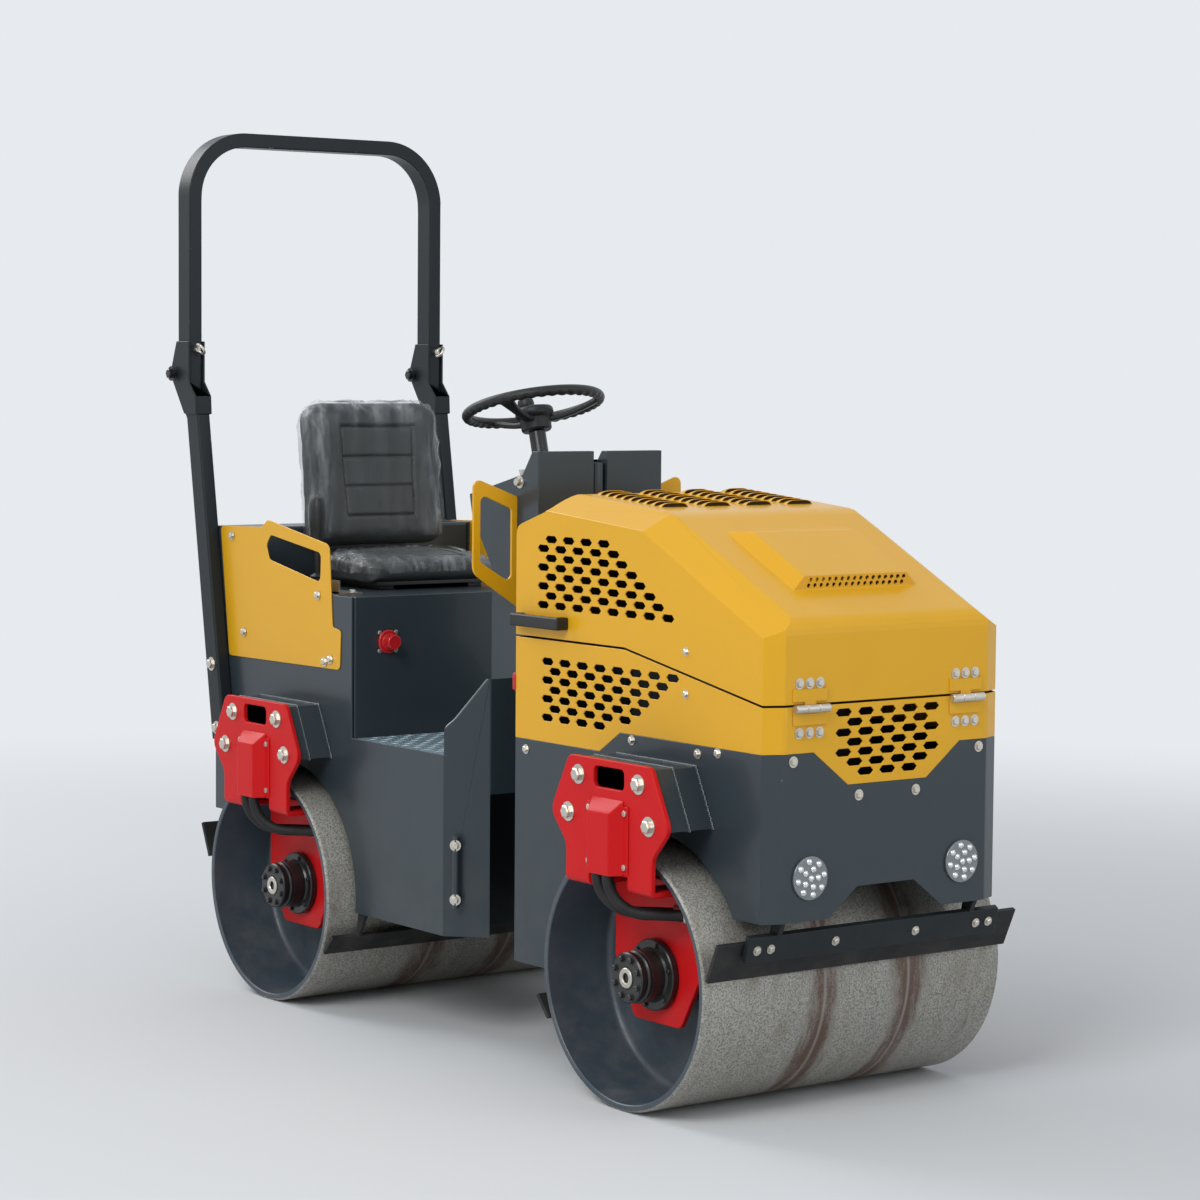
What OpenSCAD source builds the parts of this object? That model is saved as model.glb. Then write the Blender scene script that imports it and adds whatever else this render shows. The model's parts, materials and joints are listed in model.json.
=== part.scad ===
// Tandem road roller with a ride-on seat, a folding roll bar and a hinged hood.
// X runs forward, Y to the left, Z up, in millimetres.
// The modules are drawn with X = 0 at the articulation pin, midway between the
// drums, and Z = 0 on the drum axle line; place() moves them to the ground frame.

/* [Drums] */
// Outside diameter of both drums
drum_d = 560; // [545:1:575]
// Width of both drums
drum_w = 818; // [806:1:830]
// Wall of the drum shell
drum_wall = 16; // [10:1:20]
// Distance between the two axles
wheelbase = 1446; // [1436:1:1456]
// Thickness of the web discs inside a drum
web_t = 16; // [10:1:20]
// Radius of the hub on each web
hub_r = 70; // [55:1:80]
// Length of a hub outside its web
hub_len = 44; // [30:1:50]
// Gap between a hub and the hanger's inner plate
hub_gap = 15; // [10:1:20]
// Radius of the shaft that a motor puts into the hub
shaft_r = 30; // [22:1:36]

/* [Front body] */
// Half the width over the side plates
front_half = 320; // [314:1:326]
// Distance from the pin to the front body's rear wall
front_rear_x = 206; // [200:1:215]
// Distance from the pin to the front face
front_x = 1090; // [1085:1:1100]
// Length of the bevel at a front corner, along X
bevel_dx = 20; // [14:1:26]
// Width of the bevel at a front corner, along Y
bevel_dy = 43; // [36:1:50]
// Thickness of the grey frame plates
plate_t = 6; // [5:0.5:8]
// Gap between a drum and the arch in the side plates
arch_gap = 23; // [16:1:28]
// Height of the lower yellow panel's bottom edge at the rear
band_low_z = 453; // [445:1:460]
// Height of the lower yellow panel's bottom edge at the front
band_high_z = 500; // [490:1:508]
// Height of the seam under the hood at the front
seam_front_z = 600; // [594:1:606]
// Height of the seam under the hood at the rear
seam_rear_z = 683; // [676:1:690]
// Thickness of the yellow sheet panels
sheet_t = 3; // [2.5:0.5:4]
// Gap between the hood and the panels below it
seam_gap = 5; // [4:0.5:7]
// Height of the deck that carries the engine, over the arch
deck_lift = 7; // [5:1:12]
// Thickness of the engine deck
deck_t = 8; // [6:1:12]
// Radius of a headlamp
lamp_r = 41; // [34:1:46]
// Distance of a headlamp from the middle
lamp_y = 208; // [202:1:212]
// Height of the headlamps over the axle line
lamp_z = 244; // [236:1:252]
// Length of a hexagonal air hole
hex_len = 44; // [36:1:48]
// Height of a hexagonal air hole
hex_h = 16; // [13:0.5:17.5]
// Distance between air holes in a row
hex_pitch = 64; // [60:1:66]
// Distance between rows of air holes
hex_row = 20.6; // [20.2:0.1:21]

/* [Hood] */
// Height of the hood's rear edge
hood_rear_z = 923; // [915:1:930]
// Height of the top at its rear end
hood_top_z = 999; // [992:1:1006]
// Height of the bend between top and slope
hood_bend_z = 970; // [964:1:976]
// Height of the lower end of the slope
hood_nose_z = 768; // [760:1:776]
// Width of the chamfer strip along each upper edge
chamfer_w = 70; // [60:1:80]
// Angle of the chamfer strips
chamfer_a = 28.5; // [26:0.5:31]
// Length of a louvre slot in the hood's top
louvre_len = 70; // [60:1:80]
// Width of a louvre slot
louvre_w = 12; // [9:1:15]
// Distance between louvre slots along X
louvre_pitch = 27.5; // [25:0.5:29]
// Distance between the columns of louvre slots
louvre_col = 116; // [108:1:118]
// Height of the raised scoop on the slope
scoop_h = 27; // [24:1:32]
// Half the width of the scoop at its foot
scoop_half = 170; // [162:1:178]
// Half the width of the scoop's flat top
scoop_top_half = 141; // [132:1:148]
// Radius of the scoop's air holes
vent_r = 4.5; // [3:0.5:5]
// Distance between the scoop's air holes
vent_pitch = 17; // [15:0.5:17.5]
// Length of one hinge of the hood
hinge_len = 89; // [80:1:100]
// Distance of a hood hinge from the middle
hinge_y = 213; // [205:1:220]
// Radius of a hinge barrel
barrel_r = 9; // [8:0.5:9]

/* [Rear body] */
// Half the width over the side plates
rear_half = 345; // [341:1:349]
// Distance from the pin to the rear face
rear_x = 1090; // [1085:1:1096]
// Height of the floor over the axle line
floor_z = 388; // [380:1:396]
// Distance from the pin to the seat box's front
box_x = 434; // [428:1:440]
// Height of the seat box's deck
box_z = 725; // [718:1:732]
// Height of the water tank's top
tank_z = 867; // [858:1:872]
// Length of the water tank along X
tank_len = 124; // [116:1:128]
// Front of the toe board
toe_x = 34; // [30:1:38]
// Width and length of the bevel at the rear body's front corners
toe_bevel = 77; // [70:1:80]
// Height of the toe board's top
toe_z = 565; // [555:1:570]

/* [Console and steering] */
// Half the width of the console
console_half = 176; // [170:1:182]
// Distance from the pin to the console's front face
console_x = 85; // [78:1:92]
// Height of the console's front edge
console_z = 1083; // [1075:1:1090]
// Half the width of the groove in the console's front
groove_r = 19.5; // [14:0.5:20]
// Drop of the groove's round bar below the console's top edge
groove_drop = 27; // [15:1:40]
// Diameter of the steering wheel over its rim
wheel_d = 342; // [330:1:352]
// Radius of the rim's tube
rim_r = 13; // [11:0.5:15]
// Tilt of the steering column towards the seat
column_tilt = 15.5; // [13:0.5:18]

/* [Roll bar] */
// Width of the roll bar's tube along Y
tube_y = 36; // [32:1:40]
// Depth of the roll bar's tube along X
tube_x = 60; // [54:1:62]
// Height of the hoop's top over the axle line
hoop_z = 1863; // [1845:1:1885]
// Radius of the hoop's bends at the tube's middle
hoop_bend_r = 148; // [135:1:160]
// Height of the fold pivot
fold_z = 1250; // [1245:1:1256]
// Radius of the fold pivot's bolt
fold_r = 10; // [8:0.5:12]

/* [Hangers] */
// Gap between a drum's end and the hanger plate
hang_gap = 24; // [20:1:28]
// Thickness of the hanger plates
hang_t = 12; // [10:0.5:14]
// Outer radius of the bend under a hanger's outer plate
hang_bend = 16; // [10:1:20]
// Depth of the cover box on a hanger
cover_d = 28; // [22:1:32]
// Radius of a drive motor's body
motor_r = 56; // [50:1:60]
// Radius of a hydraulic hose
hose_r = 12; // [10:0.5:13]

/* [Clearances] */
// Gap around a turning shaft or pin
run_gap = 0.3; // [0.2:0.05:0.5]
// Gap beside a part that swings on a pin
side_gap = 0.5; // [0.4:0.1:0.8]
// Gap between a scraper's edge and its drum
scrape_gap = 6; // [5:0.5:7]

/* [Hidden] */
$fn = 64;
axle_x = wheelbase / 2;
axle_z = drum_d / 2;
arch_r = axle_z + arch_gap;
hang_y = drum_w / 2 + hang_gap;
hang_out = hang_y + hang_t;
hang_low_z = 191;
inner_y = hang_y - 133;
web_y = inner_y - hub_gap - hub_len - web_t;
front_low_z = -50;
nose_low_z = 155;
rear_low_z = -30;
tail_low_z = 147;
knee_x = front_rear_x + 401;
notch_x = front_rear_x + 315;
notch_run = 74;
bend_x = front_x - 410;
top_x = front_rear_x + 120;
dip_z = band_high_z - 72;
dip_y = 107;
dip_run = 93;
leaf_t = 4;
flange_t = 3;
hinge_pin_r = 4;
knuckle_half = 15;
pin_r = 25;
lug_r = 60;
lug_t = 20;
lug_low_z = 20;
lug_high_z = 200;
cross_x = 110;
pivot_z = 120;
pivot_r = 35;
boss_r = 62;
boss_x = 62;
arm_z = 95;
arm_t = 20;
arm_half = 20;
rod_r = 11;
rod_z = 132;
spindle_r = 9;
spindle_z = -61;
wheel_hub_h = 54;
hand_hub_r = 36;
rail_h = 20;
seat_half = 195;
groove_x = console_x - 2 * groove_r;
groove_low_z = toe_z + 40;
bar_r = groove_r - 2;
fold_x = -rear_x - 136;
hoop_x = -rear_x - 98;
eye_r = 24;
leg_y = rear_half + tube_y / 2;
hoop_low_z = fold_z - 50;
hinge_x = front_x + barrel_r;
hinge_z = seam_front_z - barrel_r;
tank_x = tank_len + plate_t - rear_x;
seat_back_x = tank_x + 35;
wheel_pos = [-186, 0, 1180];
arm_reach = 80;
slope_a = atan2(hood_bend_z - hood_nose_z, front_x - bend_x);
rear_reach = fold_x - eye_r;
front_reach = hinge_x + barrel_r;
mid_x = (front_reach + rear_reach) / 2;

grey = [0.30, 0.34, 0.38];
dark = [0.20, 0.22, 0.24];
yellow = [0.88, 0.66, 0.18];
red = [0.75, 0.12, 0.13];
black = [0.06, 0.06, 0.07];
zinc = [0.66, 0.64, 0.58];
steel = [0.55, 0.53, 0.50];

// Unit vector along v
function unit(v) = v / norm(v);

// Arc points that round the corner b between a and c to radius r
function corner(a, b, c, r, n) =
    let (
        u = unit(a - b),
        w = unit(c - b),
        half = acos(max(-1, min(1, u * w))) / 2,
        middle = b + unit(u + w) * r / sin(half),
        p = b + u * r / tan(half) - middle,
        q = b + w * r / tan(half) - middle,
        from = atan2(p.y, p.x),
        sweep = (atan2(q.y, q.x) - from + 540) % 360 - 180
    )
    [for (i = [0 : n]) middle + r * [cos(from + sweep * i / n), sin(from + sweep * i / n)]];

// Outline pts with corner i rounded to radius r[i]; zero leaves it sharp
function rounded(pts, r, n = 4) =
    let (k = len(pts))
    [for (i = [0 : k - 1]) each r[i] <= 0
        ? [pts[i]]
        : corner(pts[(i + k - 1) % k], pts[i], pts[(i + 1) % k], r[i], n)];

// Clockwise outline pts with every edge moved inwards by d
function inset(pts, d) =
    let (k = len(pts))
    [for (i = [0 : k - 1])
        let (
            u = unit(pts[i] - pts[(i + k - 1) % k]),
            w = unit(pts[(i + 1) % k] - pts[i]),
            n1 = [u.y, -u.x],
            n2 = [w.y, -w.x]
        )
        pts[i] + (n1 + n2) * d / (1 + n1 * n2)];

// Plan of a wall with bevelled corners, t thick, facing +X
function bevel_wall(x, half, dx, dy, t) =
    let (
        open = half - t * norm([dx, dy]) / dx,
        knee = open - (dx - t) * dy / dx
    )
    [
        [x - dx, -half], [x, dy - half], [x, half - dy], [x - dx, half],
        [x - dx, open], [x - t, knee], [x - t, -knee], [x - dx, -open]
    ];

// Outline in XZ, swept from y0 to y1
module xz(y0, y1) {
    translate([0, y1, 0]) rotate([90, 0, 0]) linear_extrude(y1 - y0) children();
}

// Outline in YZ, swept from x0 to x1
module yz(x0, x1) {
    translate([x0, 0, 0]) rotate([90, 0, 90]) linear_extrude(x1 - x0) children();
}

// Outline in XY, swept from z0 to z1
module xy(z0, z1) {
    translate([0, 0, z0]) linear_extrude(z1 - z0) children();
}

// Cylinder along Y from y0 to y1
module rod_y(y0, y1, r) {
    translate([0, y0, 0]) rotate([-90, 0, 0]) cylinder(h = y1 - y0, r = r);
}

// Cylinder along X from x0 to x1
module rod_x(x0, x1, r) {
    translate([x0, 0, 0]) rotate([0, 90, 0]) cylinder(h = x1 - x0, r = r);
}

// One hexagonal air hole
module hex_hole() {
    tip = hex_len / 2;
    half = hex_h / 2;
    polygon([
        [-tip, 0], [half - tip, half], [tip - half, half], [tip, 0], [tip - half, -half], [half - tip, -half]
    ]);
}

// Rows of air holes going down from z; every second row is moved by shift
module hex_rows(counts, x, z, shift) {
    for (row = [0 : len(counts) - 1]) {
        for (i = [0 : counts[row] - 1]) {
            translate([x + (row % 2) * shift + i * hex_pitch, z - row * hex_row]) hex_hole();
        }
    }
}

// Rows of air holes centred on zero, going down from z
module hex_rows_centred(counts, z) {
    for (row = [0 : len(counts) - 1]) {
        for (i = [0 : counts[row] - 1]) {
            translate([(i - (counts[row] - 1) / 2) * (hex_pitch - 4), z - row * hex_row]) hex_hole();
        }
    }
}

// The same piece on the right and on the left
module both() {
    children();
    mirror([0, 1, 0]) children();
}

// Box between two corners
module box(low, high) {
    translate(low) cube(high - low);
}

// Moves a piece from the axle frame to the ground frame
module place() {
    translate([-mid_x, 0, axle_z]) children();
}

module drum() {
    difference() {
        rod_y(-drum_w / 2, drum_w / 2, axle_z);
        rod_y(-drum_w / 2 - 1, drum_w / 2 + 1, axle_z - drum_wall);
    }
    both() difference() {
        union() {
            rod_y(-web_y - web_t, -web_y, axle_z - drum_wall + 1);
            rod_y(-web_y - web_t - hub_len, -web_y + 20, hub_r);
        }
        rod_y(-drum_w / 2, -1, shaft_r + run_gap);
    }
}

module front_drum() {
    color(steel) translate([axle_x, 0, 0]) drum();
}

module rear_drum() {
    color(steel) translate([-axle_x, 0, 0]) drum();
}

// Hollow arm from a side plate to its hanger plate
module arm(half) {
    pts = [[-195, 333], [-135, 455], [135, 455], [195, 333]];
    xz(-hang_y, -half + 1) difference() {
        polygon(pts);
        polygon(inset(pts, 10));
    }
}

module front_sides() {
    corner_x = front_x - bevel_dx;
    color(grey) both() {
        xz(-front_half, -front_half + plate_t) difference() {
            polygon([
                [front_rear_x, front_low_z], [axle_x, front_low_z], [axle_x, nose_low_z],
                [corner_x, nose_low_z], [corner_x, band_high_z],
                [notch_x + notch_run, band_high_z], [notch_x, band_low_z],
                [front_rear_x, band_low_z]
            ]);
            translate([axle_x, 0]) circle(arch_r);
        }
        translate([axle_x, 0, 0]) arm(front_half);
    }
}

module front_panel() {
    color(grey) difference() {
        intersection() {
            xy(100, 600) polygon(bevel_wall(front_x, front_half, bevel_dx, bevel_dy, plate_t));
            yz(front_x - 200, front_x + 50) polygon([
                [-400, nose_low_z], [-156, nose_low_z], [-77, nose_low_z + 61], [77, nose_low_z + 61],
                [156, nose_low_z], [400, nose_low_z], [400, band_high_z],
                [dip_y + dip_run, band_high_z], [dip_y, dip_z], [-dip_y, dip_z],
                [-dip_y - dip_run, band_high_z], [-400, band_high_z]
            ]);
        }
        both() translate([0, -lamp_y, lamp_z]) rod_x(front_x - 60, front_x + 10, lamp_r + run_gap);
    }
}

module front_wall() {
    side = front_half - plate_t;
    color(grey) {
        box([front_rear_x, -side, front_low_z], [front_rear_x + plate_t, side, seam_rear_z - seam_gap]);
        translate([0, 0, pivot_z]) difference() {
            rod_x(boss_x, front_rear_x + 1, boss_r);
            rod_x(boss_x - 1, front_rear_x, pivot_r + run_gap);
        }
    }
}

module engine_deck() {
    side = front_half - plate_t;
    low = arch_r + deck_lift;
    color(dark) box(
        [front_rear_x + plate_t, -side, low],
        [front_x - bevel_dx, side, low + deck_t]
    );
}

module engine() {
    low = arch_r + deck_lift + deck_t;
    color(dark) {
        box([bend_x - 250, -170, low], [bend_x + 170, 170, low + 330]);
        box([bend_x - 210, -120, low + 329], [bend_x + 120, 120, low + 400]);
    }
}

module band_sides() {
    corner_x = front_x - bevel_dx;
    color(yellow) both() xz(-front_half, -front_half + sheet_t) difference() {
        polygon([
            [front_rear_x, band_low_z], [notch_x, band_low_z], [notch_x + notch_run, band_high_z],
            [corner_x, band_high_z], [corner_x, seam_front_z - seam_gap],
            [knee_x, seam_rear_z - seam_gap], [front_rear_x, seam_rear_z - seam_gap]
        ]);
        hex_rows([8, 7, 7, 6, 6, 5, 4], front_rear_x + 121, seam_rear_z - 52, 28);
    }
}

module band_front() {
    top = seam_front_z - seam_gap;
    color(yellow) intersection() {
        xy(300, 700) polygon(bevel_wall(front_x, front_half, bevel_dx, bevel_dy, sheet_t));
        yz(front_x - 200, front_x + 50) polygon([
            [-400, band_high_z], [-dip_y - dip_run, band_high_z], [-dip_y, dip_z],
            [dip_y, dip_z], [dip_y + dip_run, band_high_z], [400, band_high_z],
            [400, top], [-400, top]
        ]);
        yz(front_x - 200, front_x + 50) difference() {
            square([1000, 2000], center = true);
            hex_rows_centred([5, 4, 5, 4, 5, 4, 3], top - 18);
        }
    }
}

module headlamps() {
    color(zinc) both() translate([0, -lamp_y, lamp_z]) {
        rod_x(front_x - 45, front_x + 2, lamp_r);
        rod_x(front_x, front_x + 6, lamp_r + 4);
    }
}

// Lower leaf, outer knuckles and pin of one hood hinge
module hood_hinges() {
    end = hinge_len / 2;
    color(zinc) both() translate([0, -hinge_y, 0]) {
        box([front_x, -end, hinge_z - 34], [front_x + leaf_t, end, hinge_z - barrel_r - 1]);
        for (s = [-1, 1]) {
            low = s < 0 ? -end : knuckle_half + 1;
            high = low + end - knuckle_half - 1;
            box([front_x, low, hinge_z - 14], [front_x + leaf_t, high, hinge_z]);
            translate([hinge_x, 0, hinge_z]) rod_y(low, high, barrel_r);
        }
        translate([hinge_x, 0, hinge_z]) rod_y(-end, end, hinge_pin_r);
    }
}

// Upper leaf and middle knuckle, which turn with the hood
module hood_leaves() {
    end = hinge_len / 2;
    color(zinc) both() translate([0, -hinge_y, 0]) difference() {
        union() {
            box([front_x, -end, hinge_z + barrel_r + 5], [front_x + leaf_t, end, hinge_z + 40]);
            box([front_x, -knuckle_half, hinge_z], [front_x + leaf_t, knuckle_half, hinge_z + 20]);
            translate([hinge_x, 0, hinge_z]) rod_y(-knuckle_half, knuckle_half, barrel_r);
        }
        translate([hinge_x, 0, hinge_z]) rod_y(-end, end, hinge_pin_r + run_gap);
    }
}

// Side outline of the hood, its lower edge dropped by d
function hood_outline(d) = [
    [front_rear_x, seam_rear_z - d], [front_rear_x, hood_rear_z], [top_x - 4, hood_rear_z + 38],
    [top_x, hood_top_z], [bend_x, hood_bend_z], [front_x, hood_nose_z],
    [front_x, seam_front_z - d], [front_x - bevel_dx, seam_front_z - d], [knee_x, seam_rear_z - d]
];

// Space over one chamfer strip that starts at the bend and falls by angle a
module chamfer(a, t) {
    translate([bend_x, chamfer_w - front_half, hood_bend_z])
        rotate([0, a, 0])
        rotate([chamfer_a, 0, 0])
        translate([-900, -300, -t])
        cube([1800, 300, 300]);
}

// The hood as a block, every face moved inwards by t
module hood_block(t, d) {
    top_a = atan2(hood_top_z - hood_bend_z, bend_x - top_x);
    plan = bevel_wall(front_x, front_half, bevel_dx, bevel_dy, t);
    turn_x = front_x - bevel_dx - (front_half - t - plan[4].y) * bevel_dx / bevel_dy;
    radii = [0, 24 - t, 14 + t, 24 - t, 150 - t, 44 - t, 0, 0, 0];
    difference() {
        intersection() {
            xz(t - front_half, front_half - t) polygon(rounded(inset(hood_outline(d), t), radii));
            xy(300, 1300) polygon(concat(
                [[0, t - front_half]],
                t == 0
                    ? [for (i = [0 : 3]) plan[i]]
                    : [[turn_x, t - front_half], plan[6], plan[5], [turn_x, front_half - t]],
                [[0, front_half - t]]
            ));
        }
        both() chamfer(top_a, t);
        both() chamfer(slope_a, t);
    }
}

// Raised scoop on the slope, its faces moved inwards by t
module scoop(t) {
    low = 83;
    length = 254;
    on_slope() hull() {
        translate([low + t, t - scoop_half, -sheet_t - t])
            cube([length - 2 * t, 2 * (scoop_half - t), 1]);
        translate([low + 55 + t, t - scoop_top_half, scoop_h - 1 - t])
            cube([length - 67 - 2 * t, 2 * (scoop_top_half - t), 1]);
    }
}

// Local frame of the hood's slope, X down along it from the bend
module on_slope() {
    translate([bend_x, 0, hood_bend_z]) rotate([0, slope_a, 0]) children();
}

// Slots in the hood's top, in four columns
module louvre_slots() {
    end = louvre_len / 2;
    r = louvre_w / 2;
    for (col = [-1.5 : 1 : 1.5]) {
        for (row = [0 : 8]) {
            translate([top_x + 36 + row * louvre_pitch, col * louvre_col, hood_bend_z - 30]) {
                translate([0, r - end, 0]) cylinder(h = 90, r = r);
                translate([0, end - r, 0]) cylinder(h = 90, r = r);
                translate([-r, r - end, 0]) cube([louvre_w, louvre_len - louvre_w, 90]);
            }
        }
    }
}

// Two rows of air holes in the scoop's front face
module scoop_vents() {
    on_slope() for (row = [0, 1]) {
        for (i = [-7.5 : 1 : 7.5]) {
            translate([300, (i + row * 0.3) * vent_pitch, scoop_h * (0.29 + 0.4 * row)])
                rotate([0, 90, 0]) cylinder(h = 50, r = vent_r, $fn = 24);
        }
    }
}

module hood() {
    color(yellow) difference() {
        union() {
            hood_block(0, 0);
            scoop(0);
        }
        hood_block(sheet_t, 80);
        scoop(sheet_t);
        scoop_vents();
        louvre_slots();
        both() xz(-front_half - 1, -front_half + 3 * sheet_t)
            hex_rows([4, 5, 5, 6, 6, 7, 7, 8], front_rear_x + 132, hood_rear_z - 24, -29);
    }
}

module hood_grips() {
    low = seam_rear_z + 22;
    high = low + 28;
    near = front_rear_x + 19;
    far = near + 180;
    color(black) both() {
        box([near, -front_half - 32, low], [far, -front_half - 20, high]);
        box([near, -front_half - 21, low], [near + 20, -front_half, high]);
        box([far - 20, -front_half - 21, low], [far, -front_half, high]);
    }
}

// Waste outside the bend between a hanger's outer plate and its shelves
module hanger_bend() {
    mid_y = hang_bend - hang_out;
    mid_z = hang_bend + hang_low_z;
    difference() {
        box([-150, -hang_out - 1, hang_low_z - 1], [150, mid_y, mid_z]);
        translate([0, mid_y, mid_z]) rod_x(-151, 151, hang_bend);
    }
}

// One hanger: outer plate, two shelves into the drum and the inner plate
module hanger() {
    plate = [
        [-149, hang_low_z], [-149, 273], [-206, 337], [-142, 462],
        [142, 462], [206, 337], [149, 273], [149, hang_low_z]
    ];
    inner = [[-149, 203], [149, 203], [149, 20], [80, -105], [-80, -105], [-149, 20]];
    difference() {
        union() {
            xz(-hang_out, -hang_y) difference() {
                polygon(rounded(plate, [10, 40, 30, 24, 24, 30, 40, 10]));
                translate([-67, 180]) square([134, 45]);
                polygon(rounded([[-53, 403], [-53, 447], [53, 447], [53, 403]], [12, 12, 12, 12]));
            }
            for (s = [-149, 67]) {
                box([s, -hang_out, hang_low_z], [s + 82, -inner_y, hang_low_z + hang_t]);
            }
        }
        hanger_bend();
    }
    xz(-inner_y - hang_t, -inner_y) difference() {
        polygon(rounded(inner, [0, 0, 20, 20, 20, 20]));
        circle(shaft_r + 12);
    }
}

module front_hangers() {
    color(red) translate([axle_x, 0, 0]) both() hanger();
}

module rear_hangers() {
    color(red) translate([-axle_x, 0, 0]) both() hanger();
}

// Pressed cover over the hoses, with a sloping top and a screwed flange
module cover() {
    low = 226;
    high = 384;
    difference() {
        xy(low, high) polygon([
            [-54, -hang_out], [-37, -hang_out - cover_d], [37, -hang_out - cover_d], [54, -hang_out]
        ]);
        translate([0, -hang_out, high]) rotate([45, 0, 0]) box([-60, -90, 0], [60, 0, 60]);
    }
    box([-72, -hang_out - flange_t, low + 4], [72, -hang_out, high - 12]);
}

module front_covers() {
    color(red) translate([axle_x, 0, 0]) both() cover();
}

module rear_covers() {
    color(red) translate([-axle_x, 0, 0]) both() cover();
}

// Motor on the hanger's inner plate, with the shaft that carries the drum
module motor() {
    face = inner_y + hang_t;
    rod_y(-face - 18, -face, motor_r + 20);
    rod_y(-face - 66, -face - 17, motor_r);
    rod_y(-face - 82, -face - 65, motor_r - 6);
    rod_y(-face - 1, -web_y + 20, shaft_r);
}

module front_motors() {
    color(black) translate([axle_x, 0, 0]) both() motor();
}

module rear_motors() {
    color(black) translate([-axle_x, 0, 0]) both() motor();
}

// Hose from the cover, bent inwards to the hanger's inner plate
module hose(x) {
    start = [x, -hang_out - cover_d / 2, 226];
    bend = 80;
    intersection() {
        translate(start) rotate([0, 0, 45]) {
            translate([bend, 0, 0]) rotate([90, 0, 0]) rotate([0, 0, 180])
                rotate_extrude(angle = 90) translate([bend, 0]) circle(hose_r, $fn = 24);
            translate([0, 0, -bend]) rod_x(bend, bend + 200, hose_r);
        }
        box([-400, -hang_out - 100, -100], [400, -inner_y - hang_t, 300]);
    }
}

module hose_pair() {
    hose(-18);
    hose(18);
}

module front_hoses() {
    color(black) translate([axle_x, 0, 0]) both() hose_pair();
}

module rear_hoses() {
    color(black) translate([-axle_x, 0, 0]) both() hose_pair();
}

// Scraper bar on a body's end wall, with its blade beside the drum
module outer_scraper(wall_x) {
    tip = axle_z + scrape_gap;
    a = 8;
    edge = tip * [cos(a), sin(a)];
    top = edge + 88 * [sin(24), cos(24)];
    lug = wall_x - axle_x;
    xz(-drum_w / 2, drum_w / 2) polygon([edge, top, top + [9, -4], edge + [9, -4]]);
    xz(66 - drum_w / 2, drum_w / 2 - 66) polygon([
        top + [0, -40], top + [12, -46], top + [24, 8], top + [14, 14]
    ]);
    both() xz(-270, -258) polygon([
        top + [-2, -30], top + [6, -34], [lug, 165], [lug, 235], [lug - 18, 235], top + [-2, 10]
    ]);
}

// Scraper bar under a body's side plates, on the drum's inner side
module inner_scraper(side_y) {
    tip = axle_z + scrape_gap;
    a = 205.6;
    edge = tip * [cos(a), sin(a)];
    top = edge + 60 * [-sin(42), cos(42)];
    xz(-drum_w / 2, drum_w / 2) polygon([edge, edge + [-7, -6], top + [-7, -6], top]);
    both() xz(-side_y, -side_y + 10) polygon([
        top + [2, -8], top + [-9, -8], [-350, -5], [-310, -5]
    ]);
}

module front_scrapers() {
    color(dark) translate([axle_x, 0, 0]) {
        outer_scraper(front_x - plate_t);
        inner_scraper(front_half - plate_t);
    }
}

module rear_scrapers() {
    color(dark) mirror([1, 0, 0]) translate([axle_x, 0, 0]) {
        outer_scraper(rear_x - plate_t);
        inner_scraper(rear_half - plate_t);
    }
}

// Pin, block and shaft between the two bodies, with the steering arm
module centre_yoke() {
    color(dark) {
        xy(lug_low_z - 8, lug_high_z + lug_t + 8) circle(pin_r);
        xy(lug_low_z + lug_t + side_gap, lug_high_z - side_gap) circle(2 * pin_r);
        translate([0, 0, pivot_z]) {
            rod_x(0, front_rear_x - 2, pivot_r);
            rod_x(20, boss_x - side_gap, 48);
        }
        xy(arm_z, arm_z + arm_t) {
            translate([-arm_reach, 0]) circle(arm_half);
            translate([-arm_reach, -arm_half]) square([arm_reach, 2 * arm_half]);
        }
    }
}

// Barrel of the steering cylinder on the cross wall
module steering_cylinder() {
    end = rear_half - plate_t - 54;
    color(black) translate([-arm_reach, 0, rod_z]) {
        difference() {
            rod_y(end - 189, end, 26);
            rod_y(end - 190, end - 13, rod_r + run_gap);
        }
        box([arm_reach - cross_x, end - 23, -22], [0, end, 22]);
    }
}

// Rod and eye of the steering cylinder, over the yoke's arm
module steering_rod() {
    color(zinc) {
        translate([-arm_reach, 0, rod_z]) rod_y(0, rear_half - plate_t - 124, rod_r);
        translate([-arm_reach, 0, arm_z + arm_t + run_gap]) cylinder(h = 32, r = 19);
    }
}

module rear_sides() {
    color(grey) both() {
        xz(-rear_half, -rear_half + plate_t) difference() {
            polygon([
                [toe_x - toe_bevel, rear_low_z], [toe_x - toe_bevel, floor_z],
                [-box_x - plate_t, floor_z], [-box_x - plate_t, box_z], [tank_x, box_z],
                [tank_x, tank_z], [-rear_x, tank_z], [-rear_x, tail_low_z],
                [-axle_x, tail_low_z], [-axle_x, rear_low_z]
            ]);
            translate([-axle_x, 0]) circle(arch_r);
        }
        translate([-axle_x, 0, 0]) arm(rear_half);
    }
}

module rear_wall() {
    side = rear_half - plate_t;
    color(grey) box([-rear_x, -side, tail_low_z], [plate_t - rear_x, side, tank_z]);
}

// Wall under the floor with the two lugs of the articulation pin
module cross_wall() {
    side = rear_half - plate_t;
    color(dark) {
        box([-cross_x - plate_t, -side, rear_low_z], [-cross_x, side, floor_z - plate_t]);
        for (z = [lug_low_z, lug_high_z]) {
            xy(z, z + lug_t) difference() {
                union() {
                    circle(lug_r);
                    translate([-cross_x - 1, -lug_r]) square([cross_x + 1, 2 * lug_r]);
                }
                circle(pin_r + run_gap);
            }
        }
    }
}

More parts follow.
